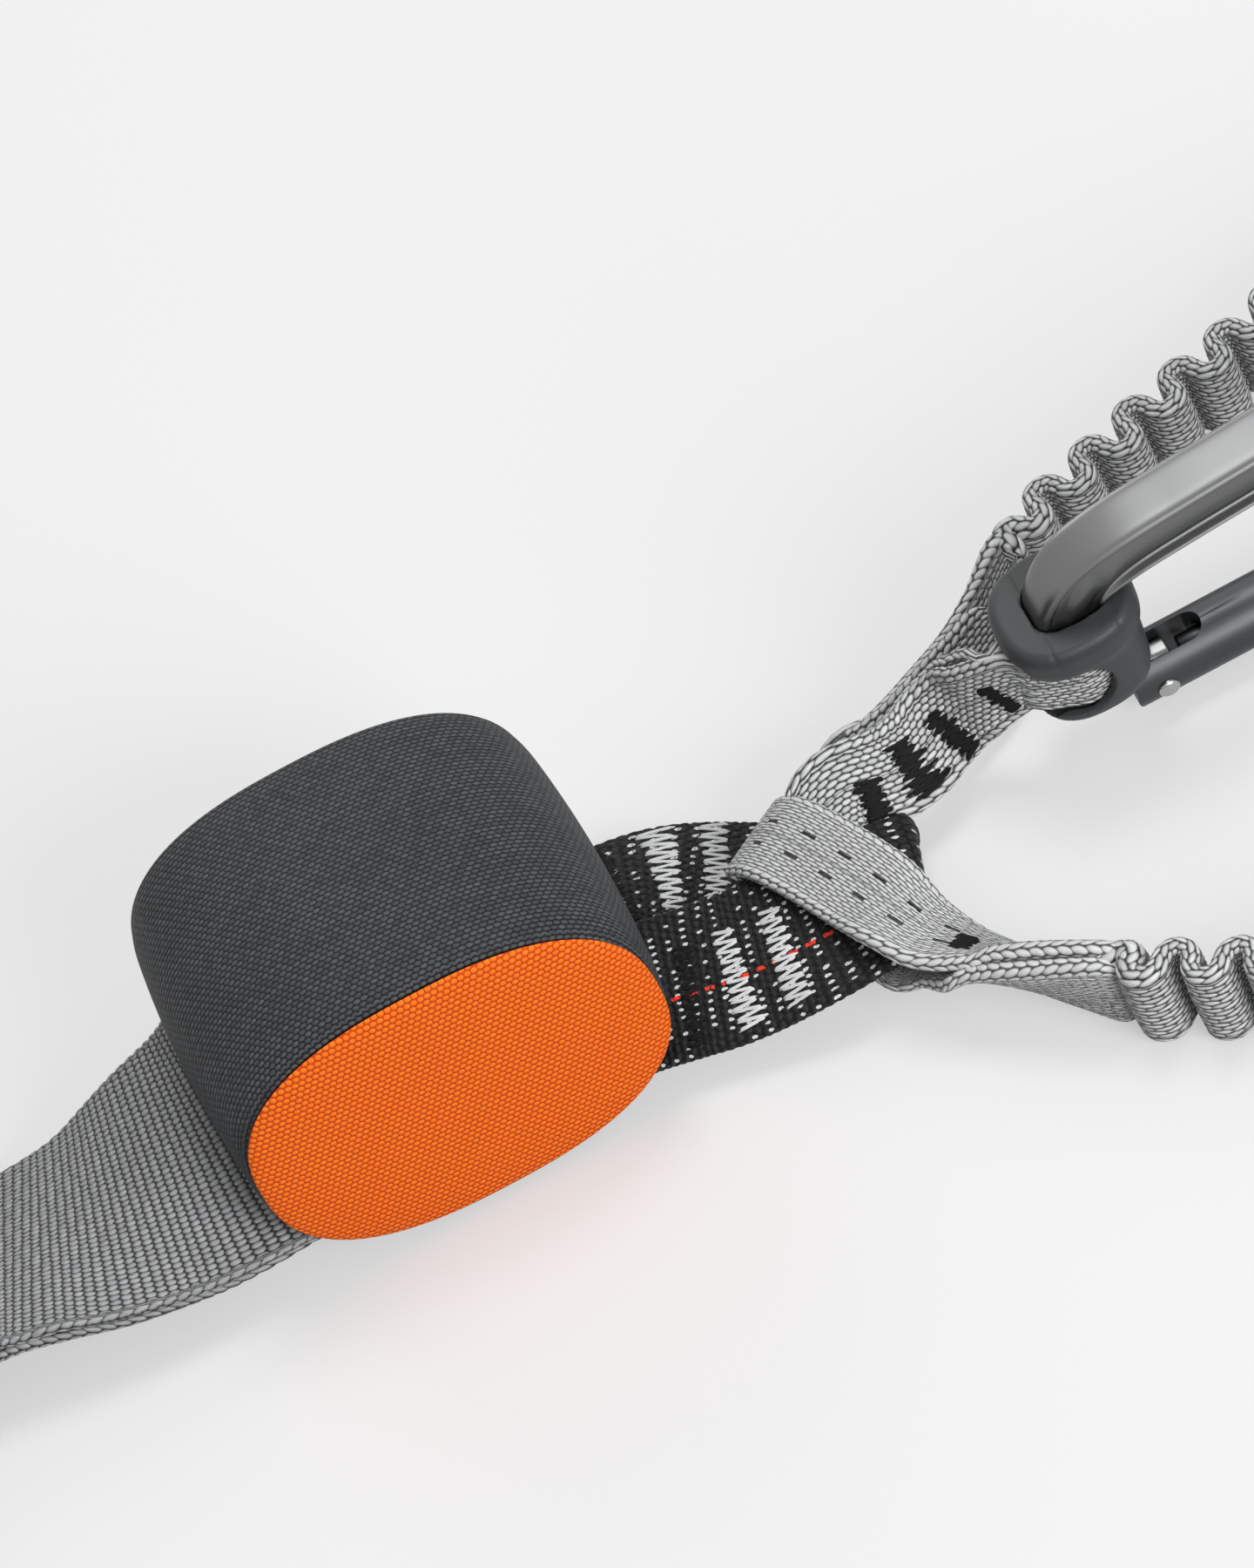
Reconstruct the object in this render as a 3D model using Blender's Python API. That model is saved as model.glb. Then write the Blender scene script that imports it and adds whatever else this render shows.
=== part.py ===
"""Via ferrata lanyard as closed solids: pouch with folded absorber, webbing loops,
two crimped elastic arms, one short resting arm and three carabiners.

Metres, +Z up. X runs along the lanyard from the harness loop to the arms, Y points
away from the viewer, and the lanyard lies on the plane z = 0.
"""
import math

import bmesh
import bpy
import numpy as np
from mathutils import Matrix, Vector

# Fits and clearances
GAP = 0.0003
STITCH_SHARE = 0.5
LEAST_STEP = 0.0003
MERGE_DISTANCE = 0.000002
SLOT_CLEARANCE = 0.0006
PIN_CLEARANCE = 0.0002
TABLE_CLEARANCE = 0.0003
FLATNESS = 0.0000002

# Pouch
POUCH_HALF_WIDTH = 0.0352
POUCH_HALF_HEIGHT = 0.0249
POUCH_LENGTH = 0.0548
POUCH_CENTRE_X = 0.0014
POUCH_CENTRE_Y = 0.0014
POUCH_YAW_SHARE = 0.03
POUCH_WALL = 0.0015
POUCH_FLAT_DEPTH = 0.0004
POUCH_SHAPE_POWER = 2.5
POUCH_SIDES = 40
WALL_END_SHARE = 0.965
PANEL_THICKNESS = 0.0012
PANEL_DOME = 0.0026
PANEL_INSET = 0.0006
DOME_RING_SHARES = ((0.0, 1.0), (0.45, 0.93), (0.78, 0.72), (0.96, 0.36), (1.0, 0.0))

# Zip in the far end panel
ZIP_LENGTH = 0.0480
ZIP_HEIGHT = 0.0056
ZIP_DEPTH = 0.0030
SLIDER_LENGTH = 0.0075
SLIDER_HEIGHT = 0.0076
SLIDER_PLATE = 0.0011
PULL_LENGTH = 0.0160
PULL_WIDTH = 0.0060
PULL_THICKNESS = 0.0012
PULL_PIN_RADIUS = 0.0007

# Folded absorber webbing
ABSORBER_LAYERS = 9
ABSORBER_LENGTH = 0.0360
ABSORBER_WIDTH = 0.0380
ABSORBER_THICKNESS = 0.0024
ABSORBER_CENTRE_X = 0.0055
ABSORBER_FLOOR = 0.0128

# Harness loop webbing
HARNESS_WIDTH = 0.0430
HARNESS_THICKNESS = 0.0019

# Black loop webbing
BLACK_WIDTH = 0.0270
BLACK_THICKNESS = 0.0018

# Tubular arm webbing
ARM_WIDTH = 0.0160
ARM_THICKNESS = 0.0028
SEWN_THICKNESS = 0.0022
CRIMP_PITCH = 0.0098
CRIMP_AMPLITUDE = 0.0030
CRIMP_ROUNDNESS = 0.80
CRIMP_STATIONS = 6

# Carabiner
BAR_WIDTH = 0.0108
BAR_THICKNESS = 0.0098
TONGUE_THICKNESS = 0.0046
BAR_GROOVE = 0.0020
GATE_RADIUS = 0.00535
GATE_LENGTH = 0.0622
GATE_SHARE = 0.622
FRAME_UNIT = GATE_LENGTH / GATE_SHARE
GATE_SIDES = 20
CHEEK_RADIUS = 0.0052
TONGUE_SHARE = 0.040
TONGUE_REACH = TONGUE_SHARE * FRAME_UNIT
SLOT_OVERRUN = 0.0050
GATE_SLOT_LENGTH = TONGUE_REACH + SLOT_OVERRUN
NOSE_TIP_SHARE = 0.575
NOSE_CLEARANCE = 0.0008
NOSE_NOTCH_LENGTH = GATE_LENGTH - NOSE_TIP_SHARE * FRAME_UNIT + NOSE_CLEARANCE
RIVET_RADIUS = 0.0015
RIVET_HEAD_RADIUS = 0.0021
RIVET_HEAD_HEIGHT = 0.0009
RIVET_SIDES = 12
PLUNGER_RADIUS = 0.0021
PLUNGER_LENGTH = 0.0070
PLUNGER_TRAVEL = 0.0015

# Rubber keeper
KEEPER_WALL = 0.0018
EYE_WIDTH = 0.0148
EYE_SHARE = 0.163
EYE_CENTRE = EYE_SHARE * FRAME_UNIT
KEEPER_FLOOR = 0.0021
KEEPER_FLANGE = 0.0049
KEEPER_BASE = EYE_CENTRE - EYE_WIDTH / 2 - KEEPER_FLOOR
KEEPER_TOP = EYE_CENTRE + EYE_WIDTH / 2 + KEEPER_FLANGE
KEEPER_REAR = 0.0098
KEEPER_FRONT = 0.0108
BAR_SHARE = 0.1035
BAR_CENTRE = -BAR_SHARE * FRAME_UNIT
MOUTH_SHARE = 0.80
NECK_SHARE = 0.88
THROAT_SHARE = 1.22

# How it lies
REACH = 0.1000
SHORT_CARABINER_SHARES = (1.258, 0.024, 0.060)
SHORT_CARABINER_LEAN_DEG = 12.0
END_CARABINER_SHARES = (3.260, 0.600)
END_TILT_DEG = 3.0
KEEPER_REST_HEIGHT = 0.0098

HARNESS_PATH_SHARES = (
    (-0.165, -0.036, 0.180, 0.85, 0.53),
    (-0.270, -0.037, 0.170, 0.86, 0.50),
    (-0.360, -0.036, 0.148, 0.945, 0.32),
    (-0.450, -0.026, 0.126, 0.984, 0.18),
    (-0.550, -0.014, 0.106, 1.00, 0.00),
    (-0.650, 0.002, 0.092, 0.985, -0.17),
    (-0.770, 0.023, 0.084, 0.974, -0.22),
)
HARNESS_EYE_SHARES = (
    (-0.900, 0.030, 0.128, 1.0, -0.14),
    (-1.060, 0.020, 0.205, 1.0, 0.0),
    (-1.230, 0.010, 0.230, 1.0, 0.0),
    (-1.360, 0.010, 0.190, 1.0, 0.0),
    (-1.415, 0.010, 0.125, 1.0, 0.0),
    (-1.360, 0.010, 0.060, 1.0, 0.0),
    (-1.230, 0.010, 0.022, 1.0, 0.0),
    (-1.060, 0.020, 0.028, 1.0, 0.0),
    (-0.900, 0.030, 0.052, 1.0, -0.14),
)

# Stations of the black loop: x, y, z and the direction across the webbing
BLACK_PATH_SHARES = (
    (0.120, -0.082, 0.084, 0.00, 0.985, 0.15),
    (0.230, -0.098, 0.080, 0.00, 0.985, 0.15),
    (0.320, -0.111, 0.077, 0.00, 0.985, 0.15),
    (0.400, -0.130, 0.077, 0.00, 0.985, 0.15),
    (0.480, -0.153, 0.083, 0.00, 0.985, 0.15),
    (0.600, -0.178, 0.102, 0.02, 0.985, 0.14),
    (0.700, -0.176, 0.100, 0.06, 0.985, 0.07),
    (0.758, -0.170, 0.083, 0.12, 0.98, 0.02),
    (0.776, -0.165, 0.057, 0.18, 0.98, 0.00),
    (0.756, -0.155, 0.036, 0.26, 0.96, 0.0),
    (0.700, -0.124, 0.034, 0.40, 0.90, 0.0),
    (0.610, -0.045, 0.035, 0.58, 0.81, 0.0),
    (0.510, 0.040, 0.038, 0.55, 0.83, 0.02),
    (0.410, 0.098, 0.046, 0.34, 0.93, 0.02),
    (0.300, 0.115, 0.050, 0.10, 0.99, 0.02),
    (0.120, 0.120, 0.054, 0.00, 1.0, 0.02),
)

# Two sewn layers of the lower arm, from the loop outwards, then the single layer of its eye
LOWER_STACK_SHARES = (
    (0.790, -0.370, 0.085, -0.15, -0.86, 0.48, 0.90),
    (0.828, -0.411, 0.084, 0.00, -0.72, 0.69, 0.95),
    (0.870, -0.457, 0.088, 0.00, -0.55, 0.83, 1.00),
    (0.925, -0.513, 0.089, 0.00, -0.30, 0.95, 1.00),
    (0.978, -0.564, 0.085, 0.00, 0.00, 1.00, 1.00),
)
LOWER_EYE_SHARES = (
    (0.748, -0.312, 0.116, -0.44, -0.86, 0.25, 0.90, 1.0),
    (0.722, -0.258, 0.134, -0.68, -0.68, 0.20, 0.85, 1.0),
    (0.700, -0.190, 0.141, -0.84, -0.52, 0.03, 0.80, 1.0),
    (0.655, -0.085, 0.146, -0.82, -0.57, 0.0, 0.80, 1.0),
    (0.615, -0.008, 0.145, -0.82, -0.57, 0.0, 0.75, 1.0),
    (0.588, 0.030, 0.121, -0.82, -0.57, 0.0, 0.60, 0.95),
    (0.608, -0.005, 0.096, -0.82, -0.57, -0.04, 0.52, 0.80),
    (0.635, -0.085, 0.082, -0.83, -0.55, -0.08, 0.52, 0.60),
    (0.665, -0.190, 0.064, -0.86, -0.50, -0.04, 0.52, 0.55),
    (0.695, -0.290, 0.058, -0.80, -0.60, 0.00, 0.52, 0.55),
    (0.727, -0.357, 0.068, -0.50, -0.76, 0.30, 0.60, 0.60),
)

# Two sewn layers of the upper arm, from the loop outwards, then the single layer of its eye
UPPER_STACK_SHARES = (
    (0.780, 0.067, 0.085, -0.28, 0.60, 0.75, 0.72),
    (0.822, 0.072, 0.083, -0.15, 0.66, 0.73, 0.78),
    (0.870, 0.087, 0.083, 0.00, 0.64, 0.77, 0.80),
    (0.945, 0.124, 0.083, 0.00, 0.64, 0.77, 0.80),
    (1.015, 0.162, 0.085, 0.00, 0.58, 0.81, 0.80),
    (1.075, 0.216, 0.089, 0.00, 0.40, 0.92, 0.85),
    (1.130, 0.288, 0.088, 0.00, 0.12, 0.99, 1.00),
    (1.175, 0.335, 0.0845, 0.00, 0.00, 1.00, 1.00),
)
UPPER_EYE_SHARES = (
    (0.736, 0.041, 0.0160, -0.72, 0.68, 0.04, 0.52, 0.62),
    (0.700, 0.012, 0.0120, -0.74, 0.67, 0.04, 0.52, 0.62),
    (0.662, -0.014, 0.0115, -0.76, 0.65, 0.0, 0.50, 0.60),
    (0.600, -0.085, 0.0115, -0.77, 0.64, 0.0, 0.50, 0.60),
    (0.540, -0.160, 0.0120, -0.77, 0.64, 0.0, 0.50, 0.62),
    (0.510, -0.198, 0.0330, -0.77, 0.64, 0.0, 0.50, 0.70),
    (0.540, -0.160, 0.0545, -0.77, 0.64, 0.0, 0.50, 0.62),
    (0.600, -0.085, 0.0530, -0.77, 0.64, 0.0, 0.50, 0.60),
    (0.662, -0.012, 0.0560, -0.76, 0.65, 0.06, 0.52, 0.65),
    (0.696, 0.029, 0.077, -0.70, 0.68, 0.18, 0.54, 0.85),
    (0.743, 0.060, 0.098, -0.42, 0.66, 0.62, 0.60, 0.78),
)

# Two sewn layers of the short arm, from the stack to the keeper
SHORT_STACK_SHARES = (
    (1.000, 0.030, 0.180, 0.0, -0.04, 1.00, 0.80),
    (0.962, 0.060, 0.143, 0.0, 0.34, 0.94, 0.80),
    (0.915, 0.062, 0.118, 0.0, 0.60, 0.80, 0.80),
    (0.870, 0.041, 0.111, 0.0, 0.64, 0.77, 0.80),
)

# Centreline of the two elastic arms, as they lie on the table
UPPER_ARM_SHARES = (
    (1.178, 0.338), (1.215, 0.352), (1.300, 0.378), (1.500, 0.446), (1.700, 0.508),
    (2.100, 0.650), (2.600, 0.810), (3.100, 0.960), (3.500, 1.045), (3.850, 1.070),
)
LOWER_ARM_SHARES = (
    (0.990, -0.574), (1.030, -0.612), (1.100, -0.660), (1.170, -0.702), (1.500, -0.850),
    (2.000, -0.980), (2.600, -1.050), (3.200, -1.070), (3.850, -1.070),
)
TURN_RADIUS = 0.0310
TURN_STATIONS = 9

# The bar of the carabiner frame: x, y, width, thickness and groove
FRAME_SHARES = (
    (0.040, 0.000, 0.66, 0.47, 0.0),
    (-0.010, 0.000, 0.70, 0.47, 0.0),
    (-0.052, 0.010, 0.74, 0.47, 0.0),
    (-0.083, 0.042, 0.82, 0.49, 0.0),
    (-0.100, 0.086, 0.96, 0.88, 0.0),
    (-0.105, 0.140, 1.00, 0.96, 0.0),
    (-0.105, 0.222, 1.00, 0.96, 0.0),
    (-0.093, 0.282, 1.00, 0.97, 0.2),
    (-0.055, 0.330, 1.00, 0.98, 0.5),
    (0.012, 0.354, 1.00, 1.00, 0.9),
    (0.120, 0.368, 1.00, 1.00, 1.0),
    (0.270, 0.383, 1.00, 1.00, 1.0),
    (0.420, 0.400, 1.00, 1.00, 1.0),
    (0.570, 0.414, 1.00, 1.00, 1.0),
    (0.690, 0.416, 1.00, 1.00, 0.9),
    (0.790, 0.390, 1.00, 1.00, 0.5),
    (0.866, 0.330, 1.00, 0.98, 0.2),
    (0.903, 0.250, 1.00, 0.98, 0.0),
    (0.903, 0.165, 1.00, 0.97, 0.0),
    (0.868, 0.088, 0.98, 0.94, 0.0),
    (0.805, 0.034, 0.94, 0.90, 0.0),
    (0.730, 0.006, 0.88, 0.84, 0.0),
    (0.668, -0.005, 0.78, 0.74, 0.0),
    (0.632, -0.008, 0.62, 0.48, 0.0),
    (0.575, -0.008, 0.52, 0.46, 0.0),
)
SECTION_SIDES = 16
SECTION_POWER = 2.6
GROOVE_HALF_SHARE = 0.52

TABLE = "lanyard_parts"
CUTTERS = "lanyard_cutters"


def clear_scene():
    for item in list(bpy.data.objects):
        bpy.data.objects.remove(item, do_unlink=True)
    for group in (TABLE, CUTTERS):
        old = bpy.data.collections.get(group)
        if old:
            bpy.data.collections.remove(old)
        fresh = bpy.data.collections.new(group)
        bpy.context.scene.collection.children.link(fresh)


def material(name, colour, roughness, metallic=0.0):
    made = bpy.data.materials.new(name)
    made.use_nodes = True
    shader = made.node_tree.nodes["Principled BSDF"]
    shader.inputs["Base Color"].default_value = (*colour, 1.0)
    shader.inputs["Roughness"].default_value = roughness
    shader.inputs["Metallic"].default_value = metallic
    return made


def make_materials():
    return {
        "charcoal": material("charcoal_fabric", (0.070, 0.076, 0.082), 0.85),
        "orange": material("orange_fabric", (0.920, 0.175, 0.018), 0.75),
        "grey": material("grey_webbing", (0.400, 0.410, 0.420), 0.80),
        "arm": material("arm_webbing", (0.360, 0.370, 0.380), 0.75),
        "black": material("black_webbing", (0.014, 0.015, 0.017), 0.80),
        "tear": material("tear_webbing", (0.600, 0.570, 0.500), 0.85),
        "silver": material("forged_aluminium", (0.560, 0.570, 0.580), 0.35, 1.0),
        "anodised": material("anodised_aluminium", (0.095, 0.098, 0.104), 0.42, 1.0),
        "steel": material("bright_steel", (0.640, 0.640, 0.640), 0.22, 1.0),
        "rubber": material("keeper_rubber", (0.060, 0.063, 0.066), 0.62),
        "zip": material("zip_coil", (0.016, 0.017, 0.019), 0.55),
    }


def split_bent_faces(work):
    """Splits the quads that aren't flat, so that every reader sees one surface."""
    bent = []
    for face in work.faces:
        if len(face.verts) != 4:
            continue
        a, b, c, d = (vert.co for vert in face.verts)
        if abs((d - a).dot((b - a).cross(c - a).normalized())) > FLATNESS:
            bent.append(face)
    bmesh.ops.triangulate(work, faces=bent, quad_method="SHORT_EDGE")


def publish(name, mesh_data, look, group=TABLE):
    verts, faces = mesh_data
    mesh = bpy.data.meshes.new(name)
    mesh.from_pydata([tuple(v) for v in verts], [], faces)
    work = bmesh.new()
    work.from_mesh(mesh)
    bmesh.ops.recalc_face_normals(work, faces=work.faces)
    split_bent_faces(work)
    work.to_mesh(mesh)
    work.free()
    item = bpy.data.objects.new(name, mesh)
    if look is not None:
        mesh.materials.append(look)
    bpy.data.collections[group].objects.link(item)
    if group == CUTTERS:
        item.hide_render = True
        item.display_type = "WIRE"
    return item


def cut(item, tools, operation="DIFFERENCE"):
    for tool in tools:
        step = item.modifiers.new("cut_" + tool.name, "BOOLEAN")
        step.operation = operation
        step.solver = "EXACT"
        step.object = tool


def loft(rings):
    """Closed solid through rings of equal count, with flat ends."""
    count = len(rings[0])
    verts = [tuple(p) for ring in rings for p in ring]
    faces = []
    for row in range(len(rings) - 1):
        for k in range(count):
            after = (k + 1) % count
            faces.append((row * count + k, row * count + after,
                          (row + 1) * count + after, (row + 1) * count + k))
    faces.append(tuple(range(count)))
    last = (len(rings) - 1) * count
    faces.append(tuple(last + k for k in reversed(range(count))))
    return verts, faces


def closed_loft(rings):
    """Closed solid whose last ring joins the first, such as a tube wall."""
    count = len(rings[0])
    verts = [tuple(p) for ring in rings for p in ring]
    faces = []
    total = len(rings)
    for row in range(total):
        for k in range(count):
            after = (k + 1) % count
            nxt = (row + 1) % total
            faces.append((row * count + k, row * count + after,
                          nxt * count + after, nxt * count + k))
    return verts, faces


def smooth(points, steps):
    """Catmull-Rom through rows of any width, with the given steps between rows."""
    rows = np.asarray(points, float)
    padded = np.vstack([2 * rows[0] - rows[1], rows, 2 * rows[-1] - rows[-2]])
    out = []
    for i in range(1, len(padded) - 2):
        p0, p1, p2, p3 = padded[i - 1:i + 3]
        for s in range(steps):
            t = s / steps
            out.append(0.5 * ((2 * p1) + (p2 - p0) * t
                              + (2 * p0 - 5 * p1 + 4 * p2 - p3) * t * t
                              + (3 * p1 - p0 - 3 * p2 + p3) * t ** 3))
    out.append(rows[-1])
    return np.array(out)


def unit(v):
    v = np.asarray(v, float)
    return v / np.linalg.norm(v, axis=-1, keepdims=True)


def frames(centres, across):
    """Tangent, direction across and normal at each station."""
    tangent = unit(np.gradient(centres, axis=0))
    across = unit(across - tangent * np.sum(across * tangent, axis=1, keepdims=True))
    return tangent, across, np.cross(across, tangent)


def band(centres, across, width, thickness):
    """Rectangular band: one ring of four corners at each station.

    Inside a tight bend a corner still moves on by LEAST_STEP, so that no ring runs back.
    """
    tangent, across, normal = frames(centres, across)
    count = len(centres)
    half_w = np.broadcast_to(np.asarray(width, float) / 2, count)[:, None]
    half_t = np.broadcast_to(np.asarray(thickness, float) / 2, count)[:, None]
    corners = [centres + across * half_w * a + normal * half_t * b
               for a, b in ((1, 1), (-1, 1), (-1, -1), (1, -1))]
    forward = unit(tangent[1:] + tangent[:-1])
    for corner in corners:
        for i in range(1, count):
            advance = np.dot(corner[i] - corner[i - 1], forward[i - 1])
            corner[i] += forward[i - 1] * max(0.0, LEAST_STEP - advance)
    return [[corners[k][i] for k in range(4)] for i in range(count)]


def volume(faces):
    """Volume that a set of triangles encloses, below zero for a pocket inside a body."""
    total = 0.0
    for face in faces:
        a, b, c = (vert.co for vert in face.verts)
        total += a.dot(b.cross(c)) / 6
    return total


def shells(work):
    """The sets of joined faces of a mesh."""
    left = set(work.faces)
    found = []
    while left:
        shell = []
        front = [left.pop()]
        while front:
            face = front.pop()
            shell.append(face)
            beside = {other for edge in face.edges for other in edge.link_faces} & left
            left -= beside
            front.extend(beside)
        found.append(shell)
    return found


def keep_outer_shell(work):
    """Splits a mesh into triangles and deletes all but its largest shell."""
    bmesh.ops.triangulate(work, faces=work.faces)
    pockets = sorted(shells(work), key=volume)[:-1]
    bmesh.ops.delete(work, geom=[face for shell in pockets for face in shell], context="FACES")
    loose = [vert for vert in work.verts if not vert.link_faces]
    bmesh.ops.delete(work, geom=loose, context="VERTS")


def publish_sewn(name, rings, look):
    """Publishes a folded webbing, with its layers joined where they press into each other.

    The join is a union of the webbing with itself and with a stitch that lies inside it. The
    closed pockets that it leaves between the layers are filled.
    """
    item = publish(name, loft(rings), look)
    inside = []
    for ring in rings[1:3]:
        middle = np.mean(ring, axis=0)
        inside.append([middle + (np.array(point) - middle) * STITCH_SHARE for point in ring])
    stitch = publish(name + "_stitch", loft(inside), None, CUTTERS)
    step = item.modifiers.new("sewn_layers", "BOOLEAN")
    step.operation = "UNION"
    step.solver = "EXACT"
    step.use_self = True
    step.object = stitch
    view = bpy.context.evaluated_depsgraph_get()
    work = bmesh.new()
    work.from_mesh(item.evaluated_get(view).to_mesh())
    item.modifiers.clear()
    bpy.data.objects.remove(stitch)
    keep_outer_shell(work)
    bmesh.ops.remove_doubles(work, verts=work.verts, dist=MERGE_DISTANCE)
    bmesh.ops.dissolve_degenerate(work, dist=MERGE_DISTANCE, edges=work.edges)
    keep_outer_shell(work)
    work.to_mesh(item.data)
    work.free()
    return item


def superellipse(half_x, half_z, power, sides, centre=(0.0, 0.0)):
    ring = []
    for k in range(sides):
        angle = 2 * math.pi * (k + 0.5) / sides
        c, s = math.cos(angle), math.sin(angle)
        ring.append((centre[0] + half_x * math.copysign(abs(c) ** (2 / power), c),
                     centre[1] + half_z * math.copysign(abs(s) ** (2 / power), s)))
    return ring


def pouch_ring(y, share, inset):
    """One section of the pouch at y, flattened where it rests on the table."""
    centre_z = POUCH_HALF_HEIGHT - POUCH_FLAT_DEPTH
    ring = superellipse(POUCH_HALF_WIDTH * share - inset, POUCH_HALF_HEIGHT * share - inset,
                        POUCH_SHAPE_POWER, POUCH_SIDES, (POUCH_CENTRE_X - POUCH_YAW_SHARE * y,
                                                         centre_z))
    return [(x, y + POUCH_CENTRE_Y, max(z, inset)) for x, z in ring]


def pouch_share(y):
    reach = 2 * y / POUCH_LENGTH
    return WALL_END_SHARE + (1 - WALL_END_SHARE) * (1 - reach * reach)


def build_pouch(look, slot_tools):
    half = POUCH_LENGTH / 2
    outer = [pouch_ring(y, pouch_share(y), 0.0) for y in np.linspace(-half, half, 7)]
    inner = [pouch_ring(y, pouch_share(y), POUCH_WALL) for y in np.linspace(half, -half, 5)]
    wall = publish("pouch_wall", closed_loft(outer + inner), look["charcoal"])
    cut(wall, slot_tools)

    panels = []
    for name, side in (("pouch_front_panel", -1.0), ("pouch_back_panel", 1.0)):
        inset = POUCH_WALL + GAP
        rings = []
        back = half - PANEL_INSET - PANEL_THICKNESS
        shares = [(0.0, 1.0)] + list(DOME_RING_SHARES[1:-1])
        edge = POUCH_WALL + GAP
        rings.append(panel_ring(side * back, 0.86, edge))
        rings.append(panel_ring(side * back, 1.0, edge))
        rings.append(panel_ring(side * (back + PANEL_THICKNESS), 1.0, edge))
        for rise, width in shares[1:]:
            rings.append(panel_ring(side * (back + PANEL_THICKNESS + PANEL_DOME * rise),
                                    width, inset))
        panels.append(publish(name, loft(rings), look["orange"]))
    return wall, panels


def panel_ring(y, share, inset):
    centre_z = POUCH_HALF_HEIGHT - POUCH_FLAT_DEPTH
    edge = pouch_share(POUCH_LENGTH / 2)
    half_x = (POUCH_HALF_WIDTH * edge - inset) * share
    half_z = (POUCH_HALF_HEIGHT * edge - inset) * share
    ring = superellipse(half_x, half_z, POUCH_SHAPE_POWER, POUCH_SIDES,
                        (POUCH_CENTRE_X - POUCH_YAW_SHARE * y, centre_z))
    return [(x, y + POUCH_CENTRE_Y, max(z, inset)) for x, z in ring]


def box(name, low, high, look, group=TABLE):
    verts = [(x, y, z) for x in (low[0], high[0]) for y in (low[1], high[1])
             for z in (low[2], high[2])]
    faces = [(0, 1, 3, 2), (4, 6, 7, 5), (0, 4, 5, 1), (2, 3, 7, 6), (0, 2, 6, 4), (1, 5, 7, 3)]
    return publish(name, (verts, faces), look, group)


def cylinder(name, matrix, radius, low, high, sides, look, group=TABLE):
    """Prism of many sides along the z axis of the matrix."""
    rings = []
    for height in (low, high):
        rings.append([matrix @ Vector((radius * math.cos(2 * math.pi * k / sides),
                                       radius * math.sin(2 * math.pi * k / sides), height))
                      for k in range(sides)])
    return publish(name, loft(rings), look, group)


def build_zip(look, back_panel):
    centre_z = POUCH_HALF_HEIGHT - POUCH_FLAT_DEPTH
    face = POUCH_CENTRE_Y + POUCH_LENGTH / 2 - PANEL_INSET + PANEL_DOME
    half = ZIP_LENGTH / 2
    rear = face - PANEL_DOME - PANEL_THICKNESS - GAP
    front = face + GAP
    slot = box("zip_slot", (-half - GAP, rear - ZIP_DEPTH, centre_z - ZIP_HEIGHT / 2 - GAP),
               (half + GAP, front + ZIP_DEPTH, centre_z + ZIP_HEIGHT / 2 + GAP), None, CUTTERS)
    cut(back_panel, [slot])
    chain = box("zip_chain", (-half, front - ZIP_DEPTH, centre_z - ZIP_HEIGHT / 2),
                (half, front, centre_z + ZIP_HEIGHT / 2), look["zip"])

    start = half - SLIDER_LENGTH / 2 - GAP
    low = front + GAP
    slider = box("zip_slider", (start - SLIDER_LENGTH / 2, low, centre_z - SLIDER_HEIGHT / 2),
                 (start + SLIDER_LENGTH / 2, low + SLIDER_PLATE + PULL_THICKNESS * 2,
                  centre_z + SLIDER_HEIGHT / 2), look["steel"])
    hinge_y = low + SLIDER_PLATE + PULL_THICKNESS * 1.1
    hinge_z = centre_z + SLIDER_HEIGHT / 2 - PULL_THICKNESS * 1.6
    pocket = box("slider_pocket",
                 (start - PULL_WIDTH / 2 + SLIDER_PLATE - GAP, low + SLIDER_PLATE,
                  centre_z - SLIDER_HEIGHT),
                 (start + PULL_WIDTH / 2 - SLIDER_PLATE + GAP, low + PULL_LENGTH,
                  centre_z + SLIDER_HEIGHT), None, CUTTERS)
    turn = Matrix.Translation(Vector((start, hinge_y, hinge_z))) @ Matrix.Rotation(
        math.radians(90), 4, "Y")
    hole = cylinder("slider_hole", turn, PULL_PIN_RADIUS + PIN_CLEARANCE, -SLIDER_LENGTH,
                    SLIDER_LENGTH, 12, None, CUTTERS)
    cut(slider, [pocket, hole])
    tongue_half = PULL_WIDTH / 2 - SLIDER_PLATE
    pull = box("zip_pull", (start - tongue_half, hinge_y - PULL_THICKNESS / 2,
                            hinge_z - PULL_LENGTH),
               (start + tongue_half, hinge_y + PULL_THICKNESS / 2, hinge_z), look["steel"])
    pin = cylinder("pull_pin", turn, PULL_PIN_RADIUS, -SLIDER_LENGTH / 2 + GAP,
                   SLIDER_LENGTH / 2 - GAP, 12, None, CUTTERS)
    cut(pull, [pin], "UNION")
    return chain, slider, pull, (start, hinge_y, hinge_z)


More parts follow.
